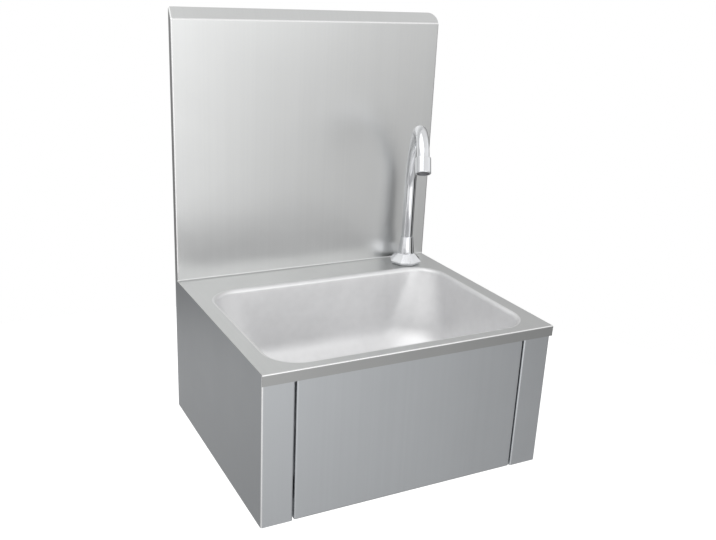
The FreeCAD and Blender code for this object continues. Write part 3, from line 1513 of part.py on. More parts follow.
def make_spout_pieces():
    """What turns with the spout: swivel bush, O-rings, and the aerator's housing, insert and gasket."""
    zero = as_size(0)
    foot, _, _, end, turn_all = spout_line()
    make_ring("swivel_bush", S.spout_radius, bush_outer, foot, S.swivel_bush)
    for number, name in enumerate(("lower", "upper")):
        o_ring = new_body(f"o_ring_{name}")
        sketch = new_sketch(o_ring, "XZ")
        circle(sketch, (S.spout_bore - S.o_ring_play - S.o_ring, zero), S.o_ring)
        ring = o_ring.newObject("PartDesign::Revolution", f"o_ring_{name}_revolution")
        ring.Profile = sketch
        ring.ReferenceAxis = (sketch, ["V_Axis"])
        ring.Angle = 360
        x, y, z = tap_at
        place(o_ring, (x, y, z + base_top + S.o_ring_first + number * S.o_ring_pitch))

    heading = S.spout_heading
    tilt = Rotation(Vector(0, 0, 1), heading.value).multiply(Rotation(Vector(0, 1, 0), turn_all.value))

    def along(distance):
        """A point on the spout's straight end, a distance past its last bend."""
        reach = end[0] + distance * sine(turn_all)
        height = end[1] + distance * cosine(turn_all)
        x, y, z = tap_at
        return (x + reach * cosine(heading), y + reach * sine(heading), z + height)

    housing_start = S.spout_end - S.aerator_length
    housing = new_body("aerator_housing")
    insert_start = S.aerator_length - S.aerator_recess - S.aerator_insert
    turned(
        housing,
        [
            (S.spout_radius, zero),
            (aerator_radius, zero),
            (aerator_radius, S.aerator_length),
            (aerator_mouth, S.aerator_length),
            (aerator_mouth, S.aerator_cover),
            (S.spout_radius, S.aerator_cover),
        ],
    )
    soften(
        housing,
        S.aerator_edge,
        any_of(rings_at(zero, aerator_radius), rings_at(S.aerator_length, aerator_radius)),
    )
    place(housing, along(housing_start), rotation=tilt)

    gasket = new_body("aerator_gasket")
    gasket_start = insert_start - S.aerator_gasket
    turned(
        gasket,
        [
            (S.spout_bore, zero),
            (aerator_mouth, zero),
            (aerator_mouth, S.aerator_gasket),
            (S.spout_bore, S.aerator_gasket),
        ],
    )
    place(gasket, along(housing_start + gasket_start), rotation=tilt)

    insert = new_body("aerator_insert")
    disc(insert, "XY", (zero, zero), aerator_mouth, zero, S.aerator_insert)
    disc(insert, "XY", (zero, zero), S.mesh_hole, zero, S.aerator_insert, cutting=True)
    for ring_number, count in enumerate((6, 12, 18), start=1):
        centre = (S.mesh_ring * ring_number, zero)
        hole = disc(insert, "XY", centre, S.mesh_hole, zero, S.aerator_insert, cutting=True)
        repeat(insert, [hole], count)
    place(insert, along(housing_start + insert_start), rotation=tilt)


# ---------------------------------------------------------------- waste

def make_waste():
    """Strainer, gaskets, body and the screw that draws them together through the bowl's floor."""
    zero = as_size(0)
    at = (zero, bowl_middle)
    strainer = new_body("waste_strainer")
    thick = S.strainer_thickness
    rim_low = recess_floor + S.upper_gasket
    dish = S.strainer_dish_radius
    turned(
        strainer,
        [
            (S.waste_screw, -S.strainer_dish),
            (dish, -S.strainer_dish),
            (dish + S.strainer_dish, zero),
            (S.waste_flange, zero),
            (S.waste_flange, thick),
            (dish + S.strainer_dish - thick / 2, thick),
            (dish - thick / 2, thick - S.strainer_dish),
            (S.waste_screw, thick - S.strainer_dish),
        ],
    )
    inner_hole = disc(strainer, "XY", (S.strainer_inner, zero), S.strainer_hole, -S.strainer_dish, thick, cutting=True)
    repeat(strainer, [inner_hole], 6)
    outer_hole = disc(strainer, "XY", (S.strainer_outer, zero), S.strainer_hole, -S.strainer_dish, thick, cutting=True)
    repeat(strainer, [outer_hole], 12)
    place(strainer, (*at, rim_low))

    upper = new_body("waste_upper_gasket")
    ring = [
        (S.drain_radius, zero),
        (S.waste_flange, zero),
        (S.waste_flange, S.upper_gasket),
        (S.drain_radius, S.upper_gasket),
    ]
    turned(upper, ring)
    place(upper, (*at, recess_floor))

    lower = new_body("waste_lower_gasket")
    under = recess_floor - gauge - S.lower_gasket
    ring = [
        (S.drain_radius, zero),
        (S.waste_flange, zero),
        (S.waste_flange, S.lower_gasket),
        (S.drain_radius, S.lower_gasket),
    ]
    turned(lower, ring)
    place(lower, (*at, under))

    body = new_body("waste_body")
    cup_low = -S.waste_rim - S.waste_cup_depth
    cone_low = cup_low - S.waste_cone
    end = cone_low - S.waste_outlet
    turned(
        body,
        [
            (S.waste_cup_bore, zero),
            (S.waste_flange, zero),
            (S.waste_flange, -S.waste_rim),
            (S.waste_cup, -S.waste_rim),
            (S.waste_cup, cup_low),
            (S.waste_thread, cone_low),
            (S.waste_thread, end),
            (S.waste_bore, end),
            (S.waste_bore, cup_low),
            (S.waste_cup_bore, cup_low),
        ],
    )
    half = S.waste_bar / 2
    bar = [
        (-S.waste_cup_bore - gauge, -half),
        (S.waste_cup_bore + gauge, -half),
        (S.waste_cup_bore + gauge, half),
        (-S.waste_cup_bore - gauge, half),
    ]
    plate(body, "XY", bar, cup_low, S.waste_bar)
    disc(body, "XY", (zero, zero), S.waste_screw, cup_low, S.waste_bar, cutting=True)
    place(body, (*at, under))

    screw = new_body("waste_screw")
    head_low = rim_low - S.strainer_dish + thick
    shank_end = under + cup_low - head_low
    turned(
        screw,
        [
            (zero, S.waste_screw_top),
            (S.waste_screw_head, S.waste_screw_top),
            (S.waste_screw_head, zero),
            (S.waste_screw, zero),
            (S.waste_screw, shank_end),
            (zero, shank_end),
        ],
    )
    soften(screw, S.waste_screw_top / 2, rings_at(S.waste_screw_top, S.waste_screw_head))
    slot_half = S.waste_screw_top / 4
    slot = [
        (-S.waste_screw_head, -slot_half),
        (S.waste_screw_head, -slot_half),
        (S.waste_screw_head, slot_half),
        (-S.waste_screw_head, slot_half),
    ]
    plate(screw, "XY", slot, S.waste_screw_top / 2, S.waste_screw_top / 2, cutting=True)
    place(screw, (*at, head_low))


# ---------------------------------------------------------------- the whole sink

make_deck()
make_bowl()
make_side_panel("side_panel_left", -1)
make_side_panel("side_panel_right", 1)
make_wall_rail("wall_rail_upper", deck_under - S.upper_rail_height, S.upper_rail_height, False)
make_wall_rail("wall_rail_lower", as_size(0), S.lower_rail_height, True)
make_cross_rail()
make_inlet_shelf()
make_knee_panel()
for hand, side in (("left", -1), ("right", 1)):
    make_hinge_pin(f"hinge_pin_{hand}", side)
    make_hinge_bush(f"hinge_bush_{hand}", side)
    make_hinge_clip(f"hinge_clip_{hand}", side)
    make_stop_rubber(f"stop_rubber_{hand}", side)
make_pusher()
make_valve_body()
make_valve_inside()
make_mixing_tee()
for supply, side in (("hot", -1), ("cold", 1)):
    make_check_valve(f"check_valve_{supply}", side)
    back_nut = make_nut(f"inlet_nut_{supply}", S.back_nut_flats, S.back_nut, S.inlet_radius)
    inlet_x = valve_x + side * S.inlet_pitch / 2
    place(back_nut, (inlet_x, tee_y, shelf_top - S.rail_gauge - S.back_nut))
make_feed_pipe()
make_hose()
make_hose_fittings()
make_tap_base()
make_tap_fixings()
make_collar()
make_spout()
make_spout_pieces()
make_waste()

doc.recompute()
faults = [o.Name for o in doc.Objects if "Invalid" in o.State or "Error" in o.State]
CUTS = ("PartDesign::Pocket", "PartDesign::Groove", "PartDesign::SubtractiveLoft")
for feature in doc.Objects:
    if feature.TypeId in CUTS and feature.BaseFeature is not None:
        if feature.Shape.Volume >= feature.BaseFeature.Shape.Volume - 1e-6:
            faults.append(f"{feature.Name} cuts nothing")
for part in parts_made:
    if part.Shape.isNull() or not part.Shape.isValid() or len(part.Shape.Solids) != 1:
        faults.append(f"{part.Label} has no single valid solid")
if faults:
    raise RuntimeError("; ".join(faults))

os.makedirs("parts", exist_ok=True)
for part in parts_made:
    part.Shape.exportStep(f"parts/{part.Label}.step")
print(f"{len(parts_made)} sub-parts written")
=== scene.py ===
"""Looks of the wall-hung hand wash sink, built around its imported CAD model.

Lengths are in metres, with +X to the viewer's right, +Y into the wall and +Z up.
"""

import json
import math

import bmesh
import bpy
from mathutils import Matrix, Vector, noise

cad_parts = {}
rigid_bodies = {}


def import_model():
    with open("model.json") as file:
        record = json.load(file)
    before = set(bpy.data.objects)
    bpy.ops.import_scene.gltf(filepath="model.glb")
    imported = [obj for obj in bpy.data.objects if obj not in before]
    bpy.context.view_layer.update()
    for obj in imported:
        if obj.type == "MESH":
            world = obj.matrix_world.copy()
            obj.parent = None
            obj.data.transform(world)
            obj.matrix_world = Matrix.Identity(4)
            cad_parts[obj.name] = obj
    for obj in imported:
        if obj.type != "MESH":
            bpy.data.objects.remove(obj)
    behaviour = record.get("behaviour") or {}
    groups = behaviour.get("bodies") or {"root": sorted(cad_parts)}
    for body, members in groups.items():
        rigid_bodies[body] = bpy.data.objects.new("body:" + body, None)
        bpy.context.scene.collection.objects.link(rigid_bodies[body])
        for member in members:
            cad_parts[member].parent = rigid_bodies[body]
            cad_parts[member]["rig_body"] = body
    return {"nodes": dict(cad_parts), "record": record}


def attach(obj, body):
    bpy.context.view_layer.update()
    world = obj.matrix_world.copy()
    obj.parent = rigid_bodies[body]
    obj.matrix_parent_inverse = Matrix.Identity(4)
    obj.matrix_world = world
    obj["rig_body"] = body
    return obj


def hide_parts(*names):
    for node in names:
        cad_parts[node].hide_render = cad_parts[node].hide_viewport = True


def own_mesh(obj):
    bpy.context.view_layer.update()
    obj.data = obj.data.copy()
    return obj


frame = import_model()
nodes = frame["nodes"]
slot_of = {part["node"]: part["material_slot"] for part in frame["record"]["subparts"]}
scene = bpy.context.scene
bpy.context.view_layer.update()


# ---------------------------------------------------------------- camera
# Its place and angles come from a fit to the straight edges in the photograph.
CAMERA_PLACE = Vector((-0.5117, -1.1252, 0.6067))
CAMERA_YAW = math.radians(27.411)
CAMERA_PITCH = math.radians(19.774)
CAMERA_ROLL = math.radians(2.483)
LENS_MM = 43.33
SENSOR_MM = 36.0
SHIFT = (0.0159, 0.0242)
CLIP = (0.05, 60.0)


def make_camera():
    data = bpy.data.cameras.new("camera")
    data.lens = LENS_MM
    data.sensor_width = SENSOR_MM
    data.sensor_fit = "HORIZONTAL"
    data.shift_x, data.shift_y = SHIFT
    data.clip_start, data.clip_end = CLIP
    camera = bpy.data.objects.new("camera", data)
    scene.collection.objects.link(camera)
    forward = Vector((
        math.sin(CAMERA_YAW) * math.cos(CAMERA_PITCH),
        math.cos(CAMERA_YAW) * math.cos(CAMERA_PITCH),
        -math.sin(CAMERA_PITCH),
    ))
    level = Vector((math.cos(CAMERA_YAW), -math.sin(CAMERA_YAW), 0.0))
    above = level.cross(forward)
    right = math.cos(CAMERA_ROLL) * level + math.sin(CAMERA_ROLL) * above
    up = math.cos(CAMERA_ROLL) * above - math.sin(CAMERA_ROLL) * level
    turn = Matrix((right, up, -forward)).transposed().to_4x4()
    camera.matrix_world = Matrix.Translation(CAMERA_PLACE) @ turn
    scene.camera = camera


# ---------------------------------------------------------------- node graphs
# The Mix node's colour sockets, which share their names with its number sockets.
MIX_FACTOR, MIX_A, MIX_B, MIX_RESULT = 0, 6, 7, 2
WHITE = (1.0, 1.0, 1.0, 1.0)


class Graph:
    """Adds shader nodes to a tree and links them. An input is a plain value or a node's output."""

    def __init__(self, tree):
        self.tree = tree
        tree.nodes.clear()

    def add(self, kind, inputs=None, **settings):
        """A new node. Its inputs go by name or by number."""
        node = self.tree.nodes.new(kind)
        for key, value in settings.items():
            setattr(node, key, value)
        for key, value in (inputs or {}).items():
            self.feed(node.inputs[key], value)
        return node

    def feed(self, socket, value):
        if isinstance(value, bpy.types.NodeSocket):
            self.tree.links.new(value, socket)
        else:
            socket.default_value = value

    def ramp(self, factor, *stops):
        """Colour ramp through stops of (position, grey or colour)."""
        node = self.add("ShaderNodeValToRGB", {"Fac": factor})
        marks = node.color_ramp.elements
        while len(marks) < len(stops):
            marks.new(0.5)
        for mark, (place, _) in zip(marks, stops):
            mark.position = place
        for mark, (_, colour) in zip(marks, stops):
            mark.color = (*(colour if isinstance(colour, tuple) else (colour,) * 3), 1.0)
        return node.outputs["Color"]

    def maths(self, how, a, b=0.0, clamp=False):
        return self.add("ShaderNodeMath", {0: a, 1: b}, operation=how, use_clamp=clamp).outputs[0]

    def times(self, a, b):
        return self.maths("MULTIPLY", a, b)

    def weighted(self, *shares):
        """Sum of values, each times its share."""
        total = None
        for value, share in shares:
            part = self.times(value, share)
            total = part if total is None else self.maths("ADD", total, part)
        return total

    def around(self, middle, *shares):
        """A number that swings round its middle with noises, each over the span of its share."""
        swing = sum(share for _, share in shares)
        return self.maths("ADD", self.weighted(*shares), middle - swing / 2, clamp=True)

    def span(self, value, low, high, to_low, to_high, smooth=True):
        """Takes low..high to to_low..to_high, held at both ends."""
        inputs = {
            "Value": value,
            "From Min": low,
            "From Max": high,
            "To Min": to_low,
            "To Max": to_high,
        }
        kind = "SMOOTHSTEP" if smooth else "LINEAR"
        return self.add("ShaderNodeMapRange", inputs, interpolation_type=kind).outputs["Result"]

    def split(self, vector):
        """The X, Y and Z of a vector."""
        return self.add("ShaderNodeSeparateXYZ", {"Vector": vector}).outputs

    def vector_maths(self, how, *inputs):
        return self.add("ShaderNodeVectorMath", dict(enumerate(inputs)), operation=how).outputs

    def noise(self, where, scale, detail, rough, stretch=None):
        if stretch is not None:
            where = self.add("ShaderNodeMapping", {"Vector": where, "Scale": stretch}).outputs[0]
        wanted = {"Vector": where, "Scale": scale, "Detail": detail, "Roughness": rough}
        return self.add("ShaderNodeTexNoise", wanted).outputs["Fac"]

    def mix(self, factor, a, b):
        inputs = {MIX_FACTOR: factor, MIX_A: a, MIX_B: b}
        return self.add("ShaderNodeMix", inputs, data_type="RGBA").outputs[MIX_RESULT]

    def bump(self, height, distance, onto=None):
        node = self.add("ShaderNodeBump", {"Height": height, "Distance": distance})
        if onto is not None:
            self.feed(node.inputs["Normal"], onto)
        return node.outputs["Normal"]


def new_material(name):
    """A material with its graph, its shader and the place on the object, in metres at rest."""
    material = bpy.data.materials.new(name)
    material.use_nodes = True
    graph = Graph(material.node_tree)
    shader = graph.add("ShaderNodeBsdfPrincipled")
    graph.add("ShaderNodeOutputMaterial", {"Surface": shader.outputs[0]})
    place = graph.add("ShaderNodeTexCoord").outputs["Object"]
    return material, graph, shader, place


def set_shader(graph, shader, colour, rough, normal, metallic=0.0):
    graph.feed(shader.inputs["Base Color"], colour)
    shader.inputs["Metallic"].default_value = metallic
    graph.feed(shader.inputs["Roughness"], rough)
    graph.feed(shader.inputs["Normal"], normal)


def tint(colour, share):
    return tuple(min(1.0, c * share) for c in colour)


# ---------------------------------------------------------------- masks by place on the part
# A fold is where the largest part of the normal falls below the second of these, and fully so
# below the first.
FOLD_NORMAL = (0.93, 0.998)
# Folds that keep the sheet's roughness and get no painted highlight: the splashback's top ones,
# above this height, and the inner ones at the deck's back, behind this Y and below this Z.
TOP_FOLD_Z = 0.5494
INNER_FOLD_Y = -0.30
INNER_FOLD_Z = 0.21
# Folds are rubbed, glossier and given a painted highlight where they lie further than this
# from the centre line.
EVERYWHERE = -1.0
CABINET_CORNERS = 0.185
# The lip's face is in front of this Y and above this Z, and its painted shade fades out between
# two Z.
LIP_Y = -0.3346
LIP_Z = 0.1825
LIP_FADE = (0.1945, 0.1965)


def fold_highlight_mask(graph, place, reach):
    """1 on the outer folds of a sheet, where the painted highlight goes, and 0 on its flats, its
    inner folds and its top ones.
    """
    turned = graph.add("ShaderNodeTexCoord").outputs["Normal"]
    facing = graph.split(graph.vector_maths("ABSOLUTE", turned)[0])
    flat = graph.maths("MAXIMUM", facing["X"], facing["Y"])
    flat = graph.maths("MAXIMUM", flat, facing["Z"])
    where = graph.split(place)
    outer = graph.maths("LESS_THAN", where["Z"], TOP_FOLD_Z)
    behind = graph.maths("GREATER_THAN", where["Y"], INNER_FOLD_Y)
    inner = graph.times(behind, graph.maths("LESS_THAN", where["Z"], INNER_FOLD_Z))
    outer = graph.times(outer, graph.maths("SUBTRACT", 1.0, inner))
    side = graph.maths("ABSOLUTE", where["X"])
    outer = graph.times(outer, graph.maths("GREATER_THAN", side, reach))
    return graph.times(graph.span(flat, *FOLD_NORMAL, 1.0, 0.0), outer)


def lip_painted_shade_mask(graph, place):
    """1 on the turned-down front lip, whose colour is darkened below the deck's as painted shade.
    """
    where = graph.split(place)
    front = graph.maths("LESS_THAN", where["Y"], LIP_Y)
    above = graph.maths("GREATER_THAN", where["Z"], LIP_Z)
    return graph.times(graph.times(front, above), graph.span(where["Z"], *LIP_FADE, 1.0, 0.0))


# ---------------------------------------------------------------- materials
# Noises, as scale, detail and roughness. A grain is a noise's frequency along X, Y and Z.
HAIRS = (1.0, 1.0, 0.4)
STREAKS = (0.3, 1.0, 0.4)
CLOUDS = (7.0, 3.0, 0.55)
PATCHES = (23.0, 4.0, 0.6)
SWELLS = (3.1, 1.0, 0.4)
SPOTS = (60.0, 3.0, 0.6)
LINES = (1.0, 3.0, 0.6)
TARNISH = (45.0, 4.0, 0.62)
WEAR = (40.0, 3.0, 0.6)
DUST = (30.0, 4.0, 0.6)
SPECKLES = (40.0, 3.0, 0.5)
WIPE_GRAIN = (700.0, 700.0, 60.0)
TOOL_GRAIN = (900.0, 900.0, 900.0)
PEBBLE_DETAIL = (2.0, 0.5)

# Bump depths in metres.
STREAK_DEPTH = 0.000004
SWELL_DEPTH = 0.0016
SPOT_DEPTH = 0.00004
LINE_DEPTH = 0.00006
BRAID_DEPTH = 0.0005
PEBBLE_DEPTH = 0.00012

# Colour of the painted highlight on the outer folds.
PAINTED_FOLD_HIGHLIGHT = (0.93, 0.93, 0.93, 1.0)
RUBBED_ROUGHNESS = 0.6    # share of the sheet's roughness that is left on a rubbed fold
# Share of the sheet's colour left on the front lip, as painted shade.
LIP_PAINTED_SHADE = 0.74
BRAID_TURN = (0.6155, 0.7854, 0.3)
BRAID_SCALE = 560.0
SCATTER_RADIUS = (0.002, 0.002, 0.002)


def varied(graph, value, colour, darkest, lightest):
    """The colour between two shares of itself, as a noise goes from its lows to its highs."""
    return graph.ramp(value, (0.3, tint(colour, darkest)), (0.7, tint(colour, lightest)))


def brushed(name, colour, rough, grain, contrast, streaks=0.0, swell=1.0, folds=None):
    """Satin sheet steel. Its grain is low along the brushing.

    contrast is how far tone and gloss vary, streaks and swell are how deep the bumps are, and
    folds is how far from the centre line the rubbed, glossier folds with a painted highlight
    start;
    with folds, the front lip gets painted shade too.
    """
    material, graph, shader, place = new_material(name)
    hair = graph.noise(place, *HAIRS, grain)
    coarse = graph.noise(place, *STREAKS, grain)
    cloud = graph.noise(place, *CLOUDS)
    patch = graph.noise(place, *PATCHES)
    streak = graph.weighted((hair, 0.6), (coarse, 0.4))
    tone = graph.weighted((streak, 0.62), (cloud, 0.38))
    low = tint(colour, 1.0 - 0.085 * contrast)
    high = tint(colour, 1.0 + 0.075 * contrast)
    shade = graph.ramp(tone, (0.30, low), (0.50, colour), (0.70, high))
    gloss = graph.around(rough, (streak, 0.20 * contrast), (patch, 0.10))
    if folds is not None:
        # Outer folds are rubbed and glossier, and their colour is brightened as a painted
        # highlight.
        rubbed_and_highlight = graph.times(fold_highlight_mask(graph, place, folds), graph.span(patch, 0.2, 0.5, 0.8, 1.0))
        shade = graph.mix(rubbed_and_highlight, shade, PAINTED_FOLD_HIGHLIGHT)
        gloss = graph.times(gloss, graph.span(rubbed_and_highlight, 0.0, 1.0, 1.0, RUBBED_ROUGHNESS))
        # The front lip's colour is darkened as painted shade.
        shade = graph.mix(lip_painted_shade_mask(graph, place), shade, (*tint(colour, LIP_PAINTED_SHADE), 1.0))
    normal = graph.bump(graph.noise(place, *SWELLS), SWELL_DEPTH * swell)
    if streaks:
        normal = graph.bump(coarse, STREAK_DEPTH * streaks, normal)
    set_shader(graph, shader, shade, gloss, normal, 1.0)
    return material


def polished(name, colour, rough):
    """Bright chrome with faint water spots and wipe marks."""
    material, graph, shader, place = new_material(name)
    spot = graph.noise(place, *SPOTS)
    wipe = graph.noise(place, *LINES, WIPE_GRAIN)
    shade = varied(graph, spot, colour, 0.95, 1.03)
    gloss = graph.around(rough, (wipe, 0.05), (spot, 0.05))
    set_shader(graph, shader, shade, gloss, graph.bump(spot, SPOT_DEPTH), 1.0)
    return material


def machined(name, colour, rough, dark):
    """Turned or drawn metal with fine tool lines and darker tarnish in patches."""
    material, graph, shader, place = new_material(name)
    line = graph.noise(place, *LINES, TOOL_GRAIN)
    patch = graph.noise(place, *TARNISH)
    stain = graph.span(patch, 0.42, 0.70, 0.0, 1.0)
    shade = graph.mix(stain, varied(graph, line, colour, 0.92, 1.06), (*dark, 1.0))
    gloss = graph.around(rough, (patch, 0.22), (line, 0.12))
    set_shader(graph, shader, shade, gloss, graph.bump(line, LINE_DEPTH), 1.0)
    return material


def braided(name, colour, rough, dark):
    """Woven wire braid: rows of rounded cells set askew, dark in the gaps between them as painted
    shade.
    """
    material, graph, shader, place = new_material(name)
    askew = graph.add("ShaderNodeMapping", {"Vector": place, "Rotation": BRAID_TURN}).outputs[0]
    wanted = {"Vector": askew, "Scale": BRAID_SCALE, "Randomness": 0.0}
    cells = graph.add("ShaderNodeTexVoronoi", wanted, distance="CHEBYCHEV")
    wire = graph.span(cells.outputs["Distance"], 0.18, 0.50, 1.0, 0.0)
    wear = graph.noise(place, *WEAR)
    # The gaps between the wires are darkened as painted shade.
    shade = graph.mix(wire, (*dark, 1.0), varied(graph, wear, colour, 0.90, 1.05))
    gloss = graph.around(rough, (wear, 0.12))
    set_shader(graph, shader, shade, gloss, graph.bump(wire, BRAID_DEPTH), 1.0)
    return material


def plastic(name, colour, rough, pebbles, scatter=0.0, sheen=0.0):
    """Moulded plastic or rubber with a fine pebbled skin and slight dust."""
    material, graph, shader, place = new_material(name)
    pebble = graph.noise(place, pebbles, *PEBBLE_DETAIL)
    dust = graph.noise(place, *DUST)
    shade = varied(graph, dust, colour, 0.90, 1.08)
    gloss = graph.around(rough, (pebble, 0.12), (dust, 0.10))
    set_shader(graph, shader, shade, gloss, graph.bump(pebble, PEBBLE_DEPTH))
    shader.inputs["Subsurface Weight"].default_value = scatter
    shader.inputs["Subsurface Radius"].default_value = SCATTER_RADIUS
    shader.inputs["Sheen Weight"].default_value = sheen
    return material


# The sheet's faint warm-green tint and the panels' cooler blue one are painted light: each stands
# for the hue of the light that those faces reflect.
SHEET_STEEL = (0.640, 0.646, 0.643)
PANEL_STEEL_PAINTED_COOL_LIGHT = (0.605, 0.625, 0.645)
# The bowl's colour, brighter than the sheet's, is painted light: it stands for more light falling
# into the bowl.
BOWL_STEEL_PAINTED_LIGHT = (0.83, 0.83, 0.835)
MILL_STEEL = (0.62, 0.63, 0.65)
CHROME = (0.80, 0.81, 0.83)
BRASS = (0.78, 0.62, 0.34)
BRASS_STAIN = (0.50, 0.37, 0.19)
BRIGHT_STEEL = (0.70, 0.70, 0.72)
BRIGHT_STAIN = (0.52, 0.52, 0.53)
COPPER = (0.80, 0.48, 0.33)
COPPER_STAIN = (0.42, 0.24, 0.17)
BLACK = (0.035, 0.035, 0.036)
IVORY = (0.85, 0.84, 0.79)
PALE = (0.86, 0.86, 0.85)
WIRE = (0.70, 0.71, 0.73)
# Painted shade in the braid's gaps.
WIRE_GAP_PAINTED_SHADE = (0.22, 0.22, 0.23)
DARK_GREY = (0.17, 0.17, 0.18)

BRUSHED_ALONG_Z = (340.0, 340.0, 2.0)
BRUSHED_ALONG_YZ = (340.0, 2.0, 2.0)
ROLLED_ALONG_X = (8.0, 300.0, 300.0)
NO_GRAIN = (90.0, 90.0, 90.0)

looks = {
    "sheet": brushed("satin_sheet", SHEET_STEEL, 0.328, BRUSHED_ALONG_YZ, 0.26, folds=EVERYWHERE),
    # The panels' cooler colour is painted light.
    "panel": brushed("satin_panel_painted_cool_light", PANEL_STEEL_PAINTED_COOL_LIGHT, 0.328, BRUSHED_ALONG_Z, 0.24,
                     folds=CABINET_CORNERS),
    "bowl": brushed("pressed_bowl", BOWL_STEEL_PAINTED_LIGHT, 0.46, NO_GRAIN, 0.5, streaks=0.5, swell=1.3),
    "rail": brushed("mill_steel", MILL_STEEL, 0.46, ROLLED_ALONG_X, 1.3, streaks=1.5),
    "chrome": polished("bright_chrome", CHROME, 0.095),
    "brass": machined("turned_brass", BRASS, 0.36, BRASS_STAIN),
    "fixing": machined("bright_fixing", BRIGHT_STEEL, 0.20, BRIGHT_STAIN),
    "copper": machined("drawn_copper", COPPER, 0.36, COPPER_STAIN),
    "rubber": plastic("black_rubber", BLACK, 0.62, 2600.0, sheen=0.15),
    "nylon": plastic("nylon", IVORY, 0.42, 1500.0, scatter=0.15),
    "white": plastic("white_plastic", PALE, 0.38, 1200.0, scatter=0.08),
    "braid": braided("braided_steel", WIRE, 0.37, WIRE_GAP_PAINTED_SHADE),
    "sieve": plastic("dark_grey_insert", DARK_GREY, 0.45, 1500.0),
}
SLOT_LOOKS = {
    "stainless": "sheet",
    "bowl_steel": "bowl",
    "chrome": "chrome",
    "rail_steel": "rail",
    "brass": "brass",
    "fixing_steel": "fixing",
    "copper": "copper",
    "black_rubber": "rubber",
    "nylon": "nylon",
    "white_plastic": "white",
    "hose_braid": "braid",
}
# Nodes that look other than their slot does.
OWN_LOOKS = {
    "side_panel_left": "panel",
    "side_panel_right": "panel",
    "knee_panel": "panel",
    # The aerator insert is dark grey, darker than its slot's nylon.
    "aerator_insert": "sieve",
}


def dress_nodes():
    for name, slot in slot_of.items():
        look = OWN_LOOKS.get(name, SLOT_LOOKS[slot])
        for holder in nodes[name].material_slots:
            holder.material = looks[look]


# ---------------------------------------------------------------- shape helpers
def put(name, shape, look, body, stands_for):
    """Makes an object of a bmesh, in place of a CAD node, and hangs it on its body."""
    bmesh.ops.recalc_face_normals(shape, faces=shape.faces)
    mesh = bpy.data.meshes.new(name)
    shape.to_mesh(mesh)
    shape.free()
    piece = bpy.data.objects.new(name, mesh)
    scene.collection.objects.link(piece)
    mesh.materials.append(looks[look])
    finish_piece(piece, body, stands_for)
    return piece


def finish_piece(piece, body, stands_for):
    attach(piece, body)
    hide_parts(stands_for)


def smooth_by_angle(mesh, degrees):
    """Smooth faces, with a sharp edge wherever two faces meet at more than the angle."""
    limit = math.radians(degrees)
    shape = bmesh.new()
    shape.from_mesh(mesh)
    for face in shape.faces:
        face.smooth = True
    for edge in shape.edges:
        edge.smooth = len(edge.link_faces) == 2 and edge.calc_face_angle(0.0) < limit
    shape.to_mesh(mesh)
    shape.free()


def skin(shape, rows):
    """Quads between closed rows of vertices with equal counts."""
    for above, below in zip(rows, rows[1:]):
        for k in range(len(above)):
            after = (k + 1) % len(above)
            shape.faces.new((above[k], above[after], below[after], below[k]))


# ---------------------------------------------------------------- bowl
BOWL_CENTRE = (0.0, -0.1935)
BOWL_HALF = (0.180, 0.1285)
RIM_Z = 0.197
BOWL_FLOOR_Z = 0.072
RIM_CORNER = 0.045
DEEP_CORNER = 0.068
CORNER_GAP = 0.0008       # least straight length from a deep corner to the side's middle
RIM_LAND = 0.0001         # flat strip at the rim's outer edge
RIM_ROLL = 0.0059         # radius from that strip into the wall
WALL_RUN = 0.12           # lean of the wall, inwards for each unit down
FLOOR_FILLET = 0.048
RECESS_RADIUS = 0.043
RECESS_EDGE = 0.0016
RECESS_TOE = 0.0012
RECESS_Z = 0.068
WASTE_RADIUS = 0.025
GAUGE = 0.001

# The waste recess's flat floor, as radii from its toe inwards.
RECESS_FLAT = (RECESS_RADIUS - 0.007, WASTE_RADIUS + 0.004, WASTE_RADIUS)

ROLL_STEPS = 14
WALL_STEPS = 20
FILLET_STEPS = 22
FLOOR_STEPS = 10
EDGE_STEPS = 6
TOE_STEPS = 5
LONG_STEPS = 34
SHORT_STEPS = 26
TURN_STEPS = 22
# The corners in turn: their sides, the angle that they start at, and the steps that lead to them.
CORNERS = (
    (1, 1, 0, SHORT_STEPS),
    (-1, 1, 90, LONG_STEPS),
    (-1, -1, 180, SHORT_STEPS),
    (1, -1, 270, LONG_STEPS),
)

# Unevenness of the pressing: its frequency and depth, and how far below the rim it is full.
PRESS_WAVES = 11.0
PRESS_DEPTH = 0.00022
PRESS_REACH = 0.05


def between(first, last, count):
    """The points inside a straight run of count steps."""
    return [first.lerp(last, k / count) for k in range(1, count)]


def rounded_ring(inset, corner, height):
    """Points round a rectangle with rounded corners, the same number at every size."""
    half_x, half_y = BOWL_HALF[0] - inset, BOWL_HALF[1] - inset
    points = []
    for sign_x, sign_y, first, lead in CORNERS:
        centre = Vector((sign_x * (half_x - corner), sign_y * (half_y - corner)))
        angles = [math.radians(first + 90 * k / TURN_STEPS) for k in range(TURN_STEPS + 1)]
        arc = [centre + corner * Vector((math.cos(a), math.sin(a))) for a in angles]
        if points:
            points += between(points[-1], arc[0], lead)
        points += arc
    points += between(points[-1], points[0], SHORT_STEPS)
    return [Vector((p.x + BOWL_CENTRE[0], p.y + BOWL_CENTRE[1], height)) for p in points]


